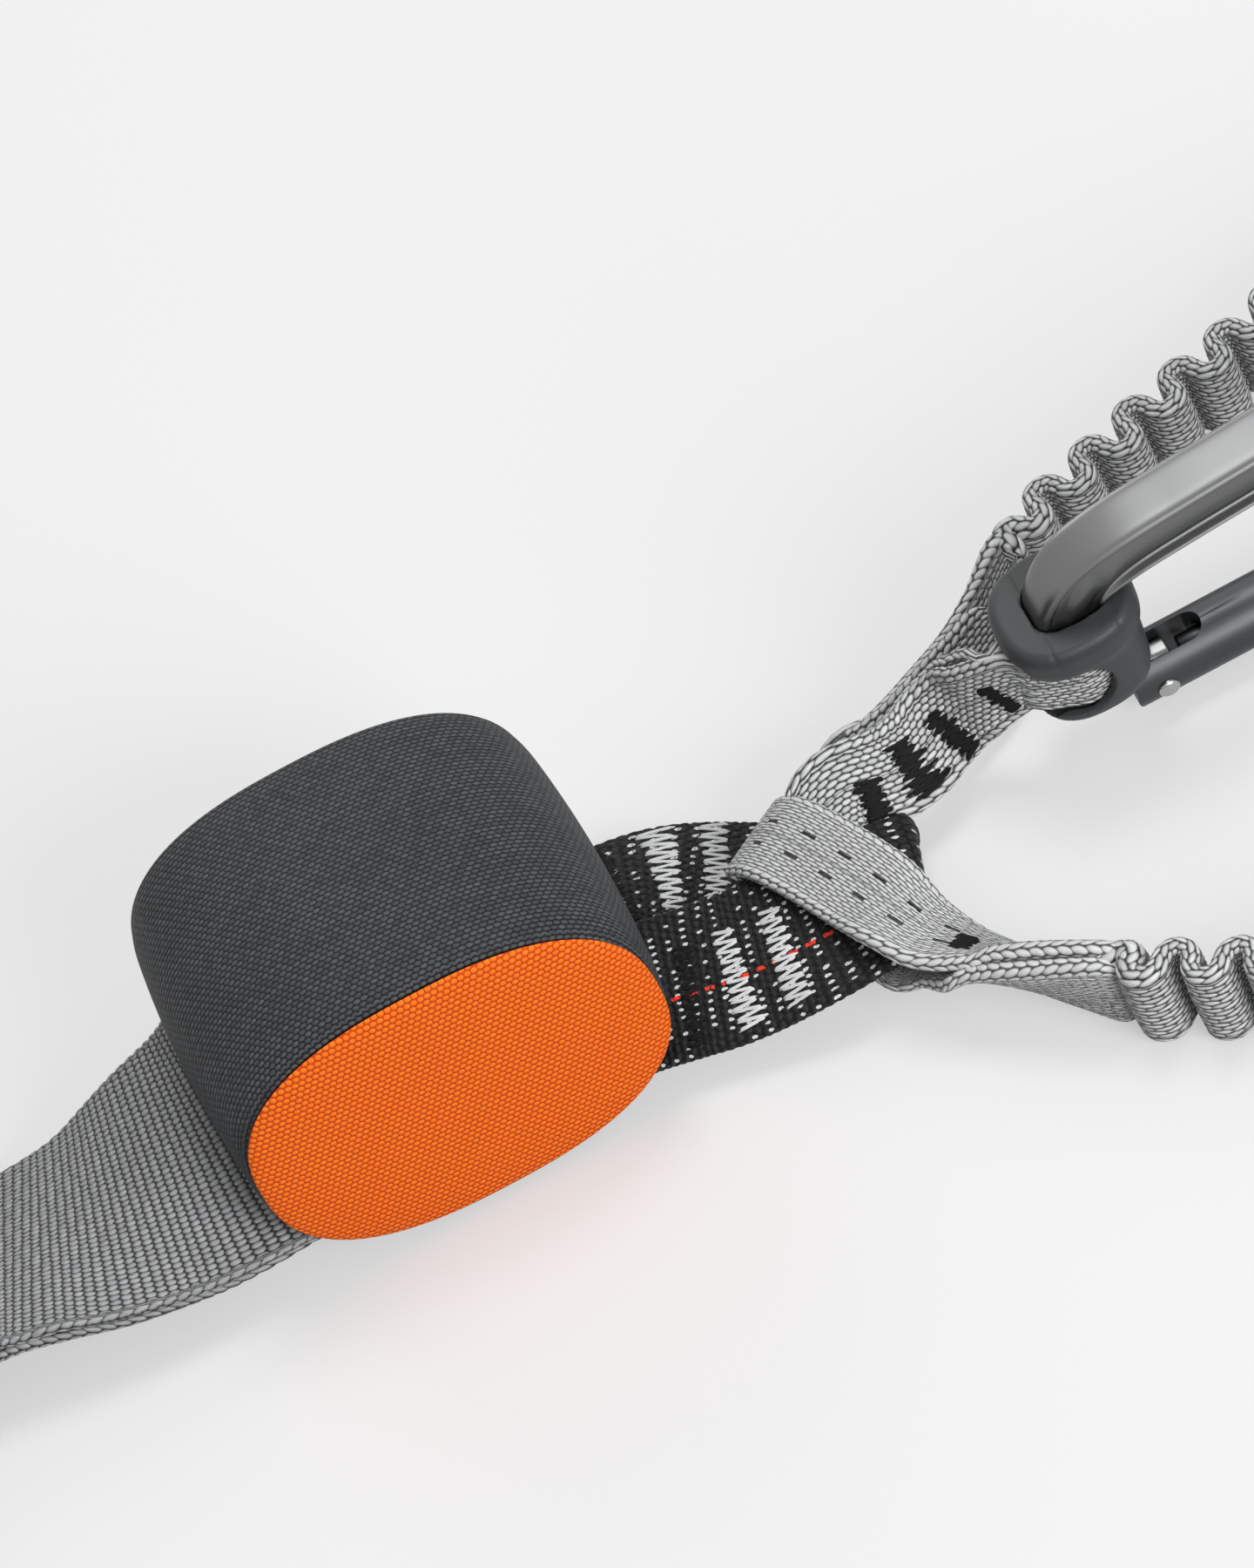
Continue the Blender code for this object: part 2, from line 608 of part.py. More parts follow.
def build_absorber(look):
    """Folded webbing: a serpentine of flat layers joined by round folds."""
    pitch = ABSORBER_THICKNESS + GAP
    radius = pitch / 2
    half = ABSORBER_LENGTH / 2 - ABSORBER_THICKNESS
    centres = []
    for layer in range(ABSORBER_LAYERS):
        z = ABSORBER_FLOOR + layer * pitch
        side = 1 if layer % 2 == 0 else -1
        centres.append((ABSORBER_CENTRE_X - side * half, 0.0, z))
        centres.append((ABSORBER_CENTRE_X + side * half, 0.0, z))
        if layer < ABSORBER_LAYERS - 1:
            centres.append((ABSORBER_CENTRE_X + side * (half + radius * 1.1), 0.0, z + radius))
    centres = np.array(centres)
    rings = []
    for i, centre in enumerate(centres):
        before = centres[max(i - 1, 0)]
        after = centres[min(i + 1, len(centres) - 1)]
        first = unit(centre - before) if i else unit(after - centre)
        second = unit(after - centre) if i < len(centres) - 1 else first
        tangent = unit(first + second)
        normal = np.cross(np.array([0.0, 1.0, 0.0]), tangent)
        stretch = 1 / max(float(np.dot(tangent, first)), 0.75)
        up = normal * ABSORBER_THICKNESS / 2 * stretch
        side = np.array([0.0, ABSORBER_WIDTH / 2, 0.0])
        rings.append([centre + side + up, centre - side + up, centre - side - up,
                      centre + side - up])
    return publish("absorber_pack", loft(rings), look["tear"])


def shares_to_rows(table):
    """Stations of a table in metres; a strap's stations without a width share get 1."""
    rows = np.array(table, float)
    rows[:, :3] *= REACH
    if rows.shape[1] == 7:
        rows = np.column_stack([rows, np.ones(len(rows))])
    return rows


def build_harness(look):
    path = np.array([(*row[:3], 0.0, *row[3:]) for row in HARNESS_PATH_SHARES])
    eye = np.array([(*row[:3], 0.0, *row[3:]) for row in HARNESS_EYE_SHARES])
    path[:, :3] *= REACH
    eye[:, :3] *= REACH
    _, _, normal = frames(path[:, :3], path[:, 3:])
    shift = normal * (HARNESS_THICKNESS + GAP) / 2
    upper = path.copy()
    lower = path.copy()
    sign = 1.0 if normal[0][2] > 0 else -1.0
    upper[:, :3] += shift * sign
    lower[:, :3] -= shift * sign
    rows = smooth(np.vstack([upper, eye, lower[::-1]]), 4)
    rings = band(rows[:, :3], rows[:, 3:], HARNESS_WIDTH, HARNESS_THICKNESS)
    item = publish_sewn("harness_loop", rings, look["grey"])
    dense = smooth(path, 3)
    tool = band(dense[:, :3], dense[:, 3:], HARNESS_WIDTH + 2 * SLOT_CLEARANCE,
                2 * HARNESS_THICKNESS + GAP + 2 * SLOT_CLEARANCE)
    return item, publish("harness_slot", loft(tool[:10]), None, CUTTERS)


def build_black_loop(look):
    rows = smooth(shares_to_rows(BLACK_PATH_SHARES), 3)
    rings = band(rows[:, :3], rows[:, 3:], BLACK_WIDTH, BLACK_THICKNESS)
    item = publish("black_loop", loft(rings), look["black"])
    wide = band(rows[:, :3], rows[:, 3:], BLACK_WIDTH + 2 * SLOT_CLEARANCE,
                BLACK_THICKNESS + 2 * SLOT_CLEARANCE)
    near = publish("near_leg_slot", loft(wide[1:9]), None, CUTTERS)
    far = publish("far_leg_slot", loft(wide[-9:-1]), None, CUTTERS)
    return item, [near, far]


def layer_rows(stack, side, thickness):
    """One of two sewn layers: the stack's centre moved across by half a layer."""
    rows = np.array(stack, float)
    tangent = unit(np.gradient(rows[:, :3], axis=0))
    across = unit(rows[:, 3:6])
    normal = unit(np.cross(across, tangent))
    rows[:, :3] += normal * side * (rows[:, 6:7] * thickness + GAP) / 2
    return rows


def build_eye(name, stack, eye, look, far_count, near_count):
    """Sewn eye: the far layer comes in, goes round as one layer and returns as the near layer."""
    stack = shares_to_rows(stack)
    far = layer_rows(stack, 1.0, ARM_THICKNESS)[:far_count][::-1]
    near = layer_rows(stack, -1.0, ARM_THICKNESS)[:near_count]
    rows = smooth(np.vstack([far, shares_to_rows(eye), near]), 3)
    rings = band(rows[:, :3], rows[:, 3:6], rows[:, 7] * ARM_WIDTH,
                 rows[:, 6] * ARM_THICKNESS)
    return publish_sewn(name, rings, look["arm"])


def place(matrix, points):
    return np.array([tuple(matrix @ Vector(p)) for p in points])


def bar_eye_rows(matrix):
    """Stations round the carabiner bar in the keeper, in world space."""
    thickness = SEWN_THICKNESS
    centre_x = BAR_CENTRE
    reach_x = BAR_WIDTH / 2 + GAP * 2.5 + thickness / 2
    reach_z = BAR_THICKNESS / 2 + GAP + thickness / 2
    flat = []
    flat.append((centre_x - KEEPER_REAR * THROAT_SHARE, (thickness + GAP) / 2))
    flat.append((centre_x - KEEPER_REAR * NECK_SHARE, reach_z * 0.52))
    for degrees in (125, 95, 60, 30, 0, -30, -60, -95, -125):
        angle = math.radians(degrees)
        flat.append((centre_x + reach_x * math.cos(angle), reach_z * math.sin(angle)))
    flat.append((centre_x - KEEPER_REAR * NECK_SHARE, -reach_z * 0.52))
    flat.append((centre_x - KEEPER_REAR * THROAT_SHARE, -(thickness + GAP) / 2))
    centres = place(matrix, [(x, EYE_CENTRE, z) for x, z in flat])
    across = np.array([tuple(matrix.to_3x3() @ Vector((0, 1, 0)))] * len(flat))
    return np.hstack([centres, across])


def build_bar_eye(name, matrix, stack, look):
    """Sewn eye round the bar, with two layers following the stack away from the keeper."""
    eye = bar_eye_rows(matrix)
    mid = (eye[0, :3] + eye[-1, :3]) / 2
    head = np.array([(*mid, *eye[0, 3:6])])
    line = np.vstack([head, stack[:, :6]])
    tangent = unit(np.gradient(line[:, :3], axis=0))
    normal = unit(np.cross(unit(line[:, 3:6]), tangent))
    shift = normal * (SEWN_THICKNESS + GAP) / 2
    if np.dot(eye[0, :3] - mid, normal[0]) < 0:
        shift = -shift
    one = line.copy()
    two = line.copy()
    one[:, :3] += shift
    two[:, :3] -= shift
    rows = smooth(np.vstack([one[1:][::-1], eye, two[1:]]), 3)
    rings = band(rows[:, :3], rows[:, 3:6], EYE_WIDTH, SEWN_THICKNESS)
    return publish_sewn(name, rings, look["arm"])


def plan_line(table, turn_side):
    """Dense plan centreline of an arm with its half turn at the far end."""
    pts = [tuple(v * REACH for v in row) for row in table]
    end = np.array(pts[-1])
    arc = []
    for k in range(1, TURN_STATIONS + 1):
        angle = math.pi * k / TURN_STATIONS
        arc.append((end[0] + TURN_RADIUS * math.sin(angle),
                    end[1] + turn_side * TURN_RADIUS * (1 - math.cos(angle))))
    return smooth(np.array(pts + arc), 10)


def build_elastic_arm(name, table, turn_side, look):
    """Crimped tube of webbing standing on edge: a meander along the plan centreline."""
    line = plan_line(table, turn_side)
    steps = np.linalg.norm(np.diff(line, axis=0), axis=1)
    along = np.concatenate([[0.0], np.cumsum(steps)])
    total = along[-1]
    pleats = max(4, round(total / CRIMP_PITCH))
    pitch = total / pleats
    swing = CRIMP_ROUNDNESS * pitch / (4 * math.pi)
    phases = [0.0]
    for k in range(pleats * CRIMP_STATIONS):
        phases.append(2 * math.pi * (k + 0.5) / CRIMP_STATIONS)
    phases.append(2 * math.pi * pleats)
    phases = np.array(phases)
    ramp = np.clip(np.minimum(phases, phases[-1] - phases) / (1.5 * math.pi), 0.0, 1.0)
    ramp = ramp * ramp * (3 - 2 * ramp)
    place_at = pitch * phases / (2 * math.pi) - swing * ramp * np.sin(2 * phases)
    offset = CRIMP_AMPLITUDE * ramp * np.sin(phases)
    base = np.stack([np.interp(place_at, along, line[:, i]) for i in range(2)], axis=1)
    heading = np.stack([np.interp(place_at, along, np.gradient(line[:, i], along))
                        for i in range(2)], axis=1)
    heading = unit(heading)
    side = np.stack([-heading[:, 1], heading[:, 0]], axis=1)
    plan = base + side * offset[:, None]
    height = ARM_WIDTH / 2 + TABLE_CLEARANCE
    centres = np.column_stack([plan, np.full(len(plan), height)])
    across = np.tile(np.array([0.0, 0.0, 1.0]), (len(plan), 1))
    rings = band(centres, across, ARM_WIDTH, ARM_THICKNESS)
    report_gap(name, centres, pitch)
    length = float(total)
    return publish(name, loft(rings), look["arm"]), length


def report_gap(name, centres, pitch):
    """Prints the least clear distance between neighbouring flanks of the crimp."""
    least = 1.0
    count = len(centres)
    skip = 2 * CRIMP_STATIONS
    for i in range(skip, count - skip):
        for j in range(i + 3, min(i + CRIMP_STATIONS + 2, count - skip)):
            a0, a1 = centres[i][:2], centres[min(i + 1, count - 1)][:2]
            for t in (0.0, 0.5, 1.0):
                p = a0 + (a1 - a0) * t
                b0, b1 = centres[j][:2], centres[min(j + 1, count - 1)][:2]
                d = b1 - b0
                s = np.clip(np.dot(p - b0, d) / max(float(np.dot(d, d)), 1e-12), 0, 1)
                least = min(least, float(np.linalg.norm(p - b0 - d * s)))
    print(f"{name}: pitch {pitch * 1000:.2f} mm, least gap to itself "
          f"{(least - ARM_THICKNESS) * 1000:.2f} mm")


def bar_section(centre, heading, width, thickness, groove):
    """One section of the carabiner bar, grooved on both faces where it is ribbed."""
    side = np.array([-heading[1], heading[0]])
    ring = []
    for k in range(SECTION_SIDES):
        angle = 2 * math.pi * (k + 0.5) / SECTION_SIDES
        c, s = math.cos(angle), math.sin(angle)
        u = width / 2 * math.copysign(abs(c) ** (2 / SECTION_POWER), c)
        v = thickness / 2 * math.copysign(abs(s) ** (2 / SECTION_POWER), s)
        if abs(u) < width / 2 * GROOVE_HALF_SHARE:
            v -= math.copysign(groove, v)
        ring.append((centre[0] + side[0] * u, centre[1] + side[1] * u, v))
    return ring


def frame_rings(extra, groove_share=1.0):
    rows = np.array(FRAME_SHARES, float)
    rows[:, :2] *= FRAME_UNIT
    heading = unit(np.gradient(rows[:, :2], axis=0))
    return [bar_section(rows[i, :2], heading[i], rows[i, 2] * BAR_WIDTH + extra,
                        rows[i, 3] * BAR_THICKNESS + extra,
                        rows[i, 4] * BAR_GROOVE * groove_share) for i in range(len(rows))]


def put(matrix, mesh_data):
    verts, faces = mesh_data
    return [tuple(matrix @ Vector(v)) for v in verts], faces


def build_carabiner(tag, matrix, look):
    """Frame, gate, rivet, plunger and keeper of one carabiner in the given place."""
    frame = publish(tag + "_frame", put(matrix, loft(frame_rings(0.0))), look["silver"])
    hinge = cylinder(tag + "_hinge_hole", matrix, RIVET_RADIUS + PIN_CLEARANCE,
                     -BAR_THICKNESS, BAR_THICKNESS, RIVET_SIDES, None, CUTTERS)
    cut(frame, [hinge])

    along = matrix @ Matrix.Rotation(math.radians(90), 4, "Y")
    gate = cylinder(tag + "_gate", along, GATE_RADIUS, -CHEEK_RADIUS, GATE_LENGTH,
                    GATE_SIDES, look["anodised"])
    keep = cylinder(tag + "_cheek_round", matrix, CHEEK_RADIUS, -BAR_THICKNESS,
                    BAR_THICKNESS, 24, None, CUTTERS)
    trim = local_box(tag + "_cheek_block", matrix, (-2 * CHEEK_RADIUS, -2 * CHEEK_RADIUS,
                     -BAR_THICKNESS * 0.9), (0.0, 2 * CHEEK_RADIUS, BAR_THICKNESS * 0.9))
    cut(trim, [keep])
    slot_half = TONGUE_THICKNESS / 2 + GAP
    slot = local_box(tag + "_gate_slot", matrix, (-2 * CHEEK_RADIUS, -2 * GATE_RADIUS,
                     -slot_half), (GATE_SLOT_LENGTH, 2 * GATE_RADIUS, slot_half))
    notch = local_box(tag + "_nose_notch", matrix,
                      (GATE_LENGTH - NOSE_NOTCH_LENGTH, -2 * GATE_RADIUS, -slot_half),
                      (GATE_LENGTH + GATE_RADIUS, GATE_RADIUS * 0.50, slot_half))
    bore = cylinder(tag + "_gate_bore", along, PLUNGER_RADIUS + GAP, TONGUE_REACH,
                    TONGUE_REACH + GAP + PLUNGER_LENGTH + PLUNGER_TRAVEL + GAP,
                    RIVET_SIDES, None, CUTTERS)
    pin_hole = cylinder(tag + "_pin_hole", matrix, RIVET_RADIUS + PIN_CLEARANCE,
                        -2 * GATE_RADIUS, 2 * GATE_RADIUS, RIVET_SIDES, None, CUTTERS)
    cut(gate, [pin_hole, slot, notch, bore, trim])

    seat = GATE_RADIUS + GAP / 3
    profile = ((RIVET_RADIUS * 0.9, seat + RIVET_HEAD_HEIGHT * 0.62),
               (RIVET_HEAD_RADIUS * 0.72, seat + RIVET_HEAD_HEIGHT),
               (RIVET_HEAD_RADIUS, seat + RIVET_HEAD_HEIGHT * 0.55),
               (RIVET_HEAD_RADIUS, seat))
    rows = [(RIVET_RADIUS * 0.5, profile[0][1] - RIVET_HEAD_HEIGHT * 0.2)] + list(profile)
    rows += [(RIVET_RADIUS, seat)]
    rows += [(r, -z) for r, z in reversed(rows)]
    rings = [[(r * math.cos(2 * math.pi * k / RIVET_SIDES),
               r * math.sin(2 * math.pi * k / RIVET_SIDES), z) for k in range(RIVET_SIDES)]
             for r, z in rows]
    rivet = publish(tag + "_rivet", put(matrix, loft(rings)), look["steel"])

    start = TONGUE_REACH + GAP
    plunger = cylinder(tag + "_plunger", along, PLUNGER_RADIUS, start, start + PLUNGER_LENGTH,
                       RIVET_SIDES, look["steel"])
    keeper = build_keeper(tag, matrix, look)
    return frame, gate, rivet, plunger, keeper


def local_box(name, matrix, low, high):
    item = box(name, low, high, None, CUTTERS)
    item.data.transform(matrix)
    return item


def build_keeper(tag, matrix, look):
    """Rubber sleeve round the bar and the webbing eye, open where the webbing comes in."""
    centre_x = BAR_CENTRE
    mid_x = centre_x + (KEEPER_FRONT - KEEPER_REAR) / 2
    half_x = (KEEPER_FRONT + KEEPER_REAR) / 2
    hollow_x = BAR_WIDTH / 2 + GAP * 2.5 + SEWN_THICKNESS + GAP
    hollow_z = BAR_THICKNESS / 2 + GAP + SEWN_THICKNESS + GAP
    half_z = hollow_z + KEEPER_WALL
    levels = ((KEEPER_BASE, 0.86), (KEEPER_BASE + 0.0012, 0.96), (EYE_CENTRE, 0.985),
              (KEEPER_TOP - 0.0075, 1.0), (KEEPER_TOP - 0.0055, 1.06),
              (KEEPER_TOP - 0.0015, 1.06), (KEEPER_TOP, 0.93))
    rings = []
    for level, share in levels:
        ring = superellipse(half_x * share, half_z * share, 2.5, 28, (mid_x, 0.0))
        rings.append([(x, level, z) for x, z in ring])
    keeper = publish(tag + "_keeper", put(matrix, loft(rings)), look["rubber"])

    low = EYE_CENTRE - EYE_WIDTH / 2 - GAP
    high = EYE_CENTRE + EYE_WIDTH / 2 + GAP
    hollow = []
    for level in (low, high):
        ring = superellipse(hollow_x, hollow_z, 2.0, 28, (centre_x, 0.0))
        hollow.append([(x, level, z) for x, z in ring])
    room = publish(tag + "_eye_room", put(matrix, loft(hollow)), None, CUTTERS)
    mouth = local_box(tag + "_eye_mouth", matrix,
                      (centre_x - 2 * KEEPER_REAR, low - GAP, -hollow_z * MOUTH_SHARE),
                      (centre_x, high + GAP, hollow_z * MOUTH_SHARE))
    rings = frame_rings(2 * GAP, 0.0)[3:11]
    bar = publish(tag + "_bar_room", put(matrix, loft(rings)), None, CUTTERS)
    cut(keeper, [bar, room, mouth])
    return keeper


def carabiner_matrix(origin, x_axis, y_axis):
    x_axis = Vector(x_axis).normalized()
    y_axis = Vector(y_axis).normalized()
    z_axis = x_axis.cross(y_axis)
    matrix = Matrix((x_axis, y_axis, z_axis)).transposed().to_4x4()
    matrix.translation = Vector(origin)
    return matrix


def set_origin(item, point):
    shift = Matrix.Translation(-Vector(point))
    item.data.transform(shift)
    item.location = Vector(point)


def main():
    clear_scene()
    look = make_materials()
    harness, harness_tool = build_harness(look)
    black, black_tools = build_black_loop(look)
    wall, panels = build_pouch(look, [harness_tool, *black_tools])
    _, slider, pull, pull_hinge = build_zip(look, panels[1])
    set_origin(slider, pull_hinge)
    set_origin(pull, pull_hinge)
    build_absorber(look)

    build_eye("lower_arm_eye", LOWER_STACK_SHARES, LOWER_EYE_SHARES, look,
              len(LOWER_STACK_SHARES), len(LOWER_STACK_SHARES))
    build_eye("upper_arm_eye", UPPER_STACK_SHARES, UPPER_EYE_SHARES, look,
              len(UPPER_STACK_SHARES), len(UPPER_STACK_SHARES) - 2)

    lean = math.radians(SHORT_CARABINER_LEAN_DEG)
    short = carabiner_matrix([v * REACH for v in SHORT_CARABINER_SHARES], (1, 0, 0),
                             (0, -math.sin(lean), math.cos(lean)))
    rest = KEEPER_REST_HEIGHT
    tilt = math.radians(END_TILT_DEG)
    down = (-math.cos(tilt), 0, -math.sin(tilt))
    end_x, end_y = (v * REACH for v in END_CARABINER_SHARES)
    upper = carabiner_matrix((end_x, end_y, rest), down, (0, -1, 0))
    lower = carabiner_matrix((end_x, -end_y, rest), down, (0, 1, 0))
    for tag, matrix in (("short", short), ("upper", upper), ("lower", lower)):
        _, gate, _, plunger, _ = build_carabiner(tag, matrix, look)
        set_origin(gate, matrix.translation)
        set_origin(plunger, matrix @ Vector((TONGUE_REACH + GAP, 0, 0)))

    build_bar_eye("short_arm_strap", short, shares_to_rows(SHORT_STACK_SHARES), look)
    build_elastic_arm("upper_elastic_arm", UPPER_ARM_SHARES, -1.0, look)
    build_elastic_arm("lower_elastic_arm", LOWER_ARM_SHARES, 1.0, look)
    for tag, matrix, side in (("upper", upper, 1.0), ("lower", lower, -1.0)):
        start = matrix @ Vector((BAR_CENTRE - KEEPER_REAR * THROAT_SHARE, EYE_CENTRE, 0))
        end = np.array([3.85 * REACH, side * (1.07 * REACH - 2 * TURN_RADIUS),
                        ARM_WIDTH / 2 + TABLE_CLEARANCE])
        rows = []
        for share, lift in ((0.35, 0.30), (0.65, 0.72), (0.965, 1.0)):
            centre = np.array(start) * (1 - share) + end * share
            turn = math.radians(90) * lift
            rows.append((*centre, 0.0, side * math.cos(turn), math.sin(turn)))
        build_bar_eye(tag + "_end_eye", matrix, np.array(rows), look)


main()
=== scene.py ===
"""Looks of a via ferrata lanyard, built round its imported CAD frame.

Metres, +Z up, the same frame as the solids. Each sub-assembly is a class that holds its
sizes, builds its meshes and dresses them. Webbing is one builder: a band along stations,
with rounded selvedges and knuckles, whose map is measured in metres along and round it.
"""

import logging
import math
from dataclasses import dataclass, field
from enum import Enum, StrEnum, auto
from typing import Callable, Iterable, Sequence

import bmesh
import bpy
import numpy as np
from bpy.types import Material, Mesh, Node, NodeSocket, NodeTree, Object
from mathutils import Matrix, Vector
from numpy import ndarray

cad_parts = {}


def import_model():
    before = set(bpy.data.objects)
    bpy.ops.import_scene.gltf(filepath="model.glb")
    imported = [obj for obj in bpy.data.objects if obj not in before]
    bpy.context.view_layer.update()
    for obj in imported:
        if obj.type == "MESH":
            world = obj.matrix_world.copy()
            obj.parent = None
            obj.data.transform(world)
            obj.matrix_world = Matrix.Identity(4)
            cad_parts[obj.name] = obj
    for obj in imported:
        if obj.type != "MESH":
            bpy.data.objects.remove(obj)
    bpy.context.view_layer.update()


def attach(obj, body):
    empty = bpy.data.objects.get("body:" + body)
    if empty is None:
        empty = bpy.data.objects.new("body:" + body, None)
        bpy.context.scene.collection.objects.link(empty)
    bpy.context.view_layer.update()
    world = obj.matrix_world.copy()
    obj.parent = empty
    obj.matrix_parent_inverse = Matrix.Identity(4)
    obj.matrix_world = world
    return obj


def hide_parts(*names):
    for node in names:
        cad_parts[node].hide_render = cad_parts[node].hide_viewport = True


LOG = logging.getLogger("lanyard")
REACH = 0.1
GAP = 0.0003

# Stations in shares of REACH: x, y, z, the direction across, and any width or thickness shares
HARNESS_PATH = (
    (-0.165, -0.036, 0.18, 0, 0.85, 0.53), (-0.27, -0.037, 0.17, 0, 0.86, 0.5),
    (-0.36, -0.036, 0.148, 0, 0.945, 0.32), (-0.45, -0.026, 0.126, 0, 0.984, 0.18),
    (-0.55, -0.014, 0.106, 0, 1.0, 0.0), (-0.65, 0.002, 0.092, 0, 0.985, -0.17),
    (-0.77, 0.023, 0.084, 0, 0.974, -0.22),
)
HARNESS_EYE = (
    (-0.9, 0.03, 0.128, 0, 1, -0.14), (-1.06, 0.02, 0.205, 0, 1, 0),
    (-1.23, 0.01, 0.23, 0, 1, 0), (-1.36, 0.01, 0.19, 0, 1, 0),
    (-1.415, 0.01, 0.125, 0, 1, 0), (-1.36, 0.01, 0.06, 0, 1, 0),
    (-1.23, 0.01, 0.022, 0, 1, 0), (-1.06, 0.02, 0.028, 0, 1, 0),
    (-0.9, 0.03, 0.052, 0, 1, -0.14),
)
BLACK_PATH = (
    (0.12, -0.082, 0.084, 0.0, 0.985, 0.15), (0.23, -0.098, 0.08, 0.0, 0.985, 0.15),
    (0.32, -0.111, 0.077, 0.0, 0.985, 0.15), (0.4, -0.13, 0.077, 0.0, 0.985, 0.15),
    (0.48, -0.153, 0.083, 0.0, 0.985, 0.15), (0.6, -0.178, 0.102, 0.02, 0.985, 0.14),
    (0.7, -0.176, 0.1, 0.06, 0.985, 0.07), (0.758, -0.17, 0.083, 0.12, 0.98, 0.02),
    (0.776, -0.165, 0.057, 0.18, 0.98, 0.0), (0.756, -0.155, 0.036, 0.26, 0.96, 0.0),
    (0.7, -0.124, 0.034, 0.4, 0.9, 0.0), (0.61, -0.045, 0.035, 0.58, 0.81, 0.0),
    (0.51, 0.04, 0.038, 0.55, 0.83, 0.02), (0.41, 0.098, 0.046, 0.34, 0.93, 0.02),
    (0.3, 0.115, 0.05, 0.1, 0.99, 0.02), (0.12, 0.12, 0.054, 0.0, 1.0, 0.02),
)
LOWER_STACK = (
    (0.79, -0.37, 0.085, -0.15, -0.86, 0.48, 0.9, 1.0),
    (0.828, -0.411, 0.084, 0.0, -0.72, 0.69, 0.95, 1.0),
    (0.87, -0.457, 0.088, 0.0, -0.55, 0.83, 1.0, 1.0),
    (0.925, -0.513, 0.089, 0.0, -0.3, 0.95, 1.0, 1.0),
    (0.978, -0.564, 0.085, 0.0, 0.0, 1.0, 1.0, 1.0),
)
LOWER_EYE = (
    (0.748, -0.312, 0.116, -0.44, -0.86, 0.25, 0.9, 1.0),
    (0.722, -0.258, 0.134, -0.68, -0.68, 0.2, 0.85, 1.0),
    (0.7, -0.19, 0.141, -0.84, -0.52, 0.03, 0.8, 1.0),
    (0.655, -0.085, 0.146, -0.82, -0.57, 0.0, 0.8, 1.0),
    (0.615, -0.008, 0.145, -0.82, -0.57, 0.0, 0.75, 1.0),
    (0.588, 0.03, 0.121, -0.82, -0.57, 0.0, 0.6, 0.95),
    (0.608, -0.005, 0.096, -0.82, -0.57, -0.04, 0.52, 0.8),
    (0.635, -0.085, 0.082, -0.83, -0.55, -0.08, 0.52, 0.6),
    (0.665, -0.19, 0.064, -0.86, -0.5, -0.04, 0.52, 0.55),
    (0.695, -0.29, 0.058, -0.8, -0.6, 0.0, 0.52, 0.55),
    (0.737, -0.329, 0.067, -0.42, -0.8, 0.36, 0.66, 0.66),
)
UPPER_STACK = (
    (0.78, 0.067, 0.085, -0.28, 0.6, 0.75, 0.72, 1.0),
    (0.822, 0.072, 0.083, -0.15, 0.66, 0.73, 0.78, 1.0),
    (0.87, 0.087, 0.083, 0.0, 0.64, 0.77, 0.8, 1.0),
    (0.945, 0.124, 0.083, 0.0, 0.64, 0.77, 0.8, 1.0),
    (1.015, 0.162, 0.085, 0.0, 0.58, 0.81, 0.8, 1.0),
    (1.075, 0.216, 0.089, 0.0, 0.4, 0.92, 0.85, 1.0),
    (1.13, 0.288, 0.088, 0.0, 0.12, 0.99, 1.0, 1.0),
    (1.175, 0.335, 0.0845, 0.0, 0.0, 1.0, 1.0, 1.0),
)
UPPER_EYE = (
    (0.736, 0.041, 0.016, -0.72, 0.68, 0.04, 0.52, 0.62),
    (0.7, 0.012, 0.012, -0.74, 0.67, 0.04, 0.52, 0.62),
    (0.662, -0.014, 0.0115, -0.76, 0.65, 0.0, 0.5, 0.6),
    (0.6, -0.085, 0.0115, -0.77, 0.64, 0.0, 0.5, 0.6),
    (0.54, -0.16, 0.012, -0.77, 0.64, 0.0, 0.5, 0.62),
    (0.51, -0.198, 0.033, -0.77, 0.64, 0.0, 0.5, 0.7),
    (0.54, -0.16, 0.0545, -0.77, 0.64, 0.0, 0.5, 0.62),
    (0.6, -0.085, 0.053, -0.77, 0.64, 0.0, 0.5, 0.6),
    (0.662, -0.012, 0.056, -0.76, 0.65, 0.06, 0.52, 0.65),
    (0.696, 0.029, 0.077, -0.7, 0.68, 0.18, 0.54, 0.85),
    (0.743, 0.06, 0.098, -0.42, 0.66, 0.62, 0.6, 0.78),
)
SHORT_STACK = (
    (1.0, 0.03, 0.18, 0.0, -0.04, 1.0), (0.962, 0.06, 0.143, 0.0, 0.34, 0.94),
    (0.915, 0.062, 0.118, 0.0, 0.6, 0.8), (0.87, 0.041, 0.111, 0.0, 0.64, 0.77),
    (0.826, 0.029, 0.111, -0.08, 0.66, 0.73), (0.79, 0.028, 0.116, -0.2, 0.66, 0.71),
    (0.746, 0.029, 0.121, -0.4, 0.66, 0.6), (0.704, 0.016, 0.114, -0.62, 0.68, 0.32),
    (0.676, 0.002, 0.106, -0.7, 0.68, 0.15),
)
UPPER_ARM = (
    (1.178, 0.338), (1.215, 0.352), (1.3, 0.378), (1.5, 0.446), (1.7, 0.508),
    (2.1, 0.65), (2.6, 0.81), (3.1, 0.96), (3.5, 1.045), (3.85, 1.07),
)
LOWER_ARM = (
    (0.99, -0.574), (1.03, -0.612), (1.1, -0.66), (1.17, -0.702), (1.5, -0.85),
    (2.0, -0.98), (2.6, -1.05), (3.2, -1.07), (3.85, -1.07),
)
# The far webbing's turn onto its edge: share of its way and share of the turn
END_TURN = ((0.16, 0.03), (0.36, 0.25), (0.58, 0.62), (0.8, 0.93), (1.07, 1.0))
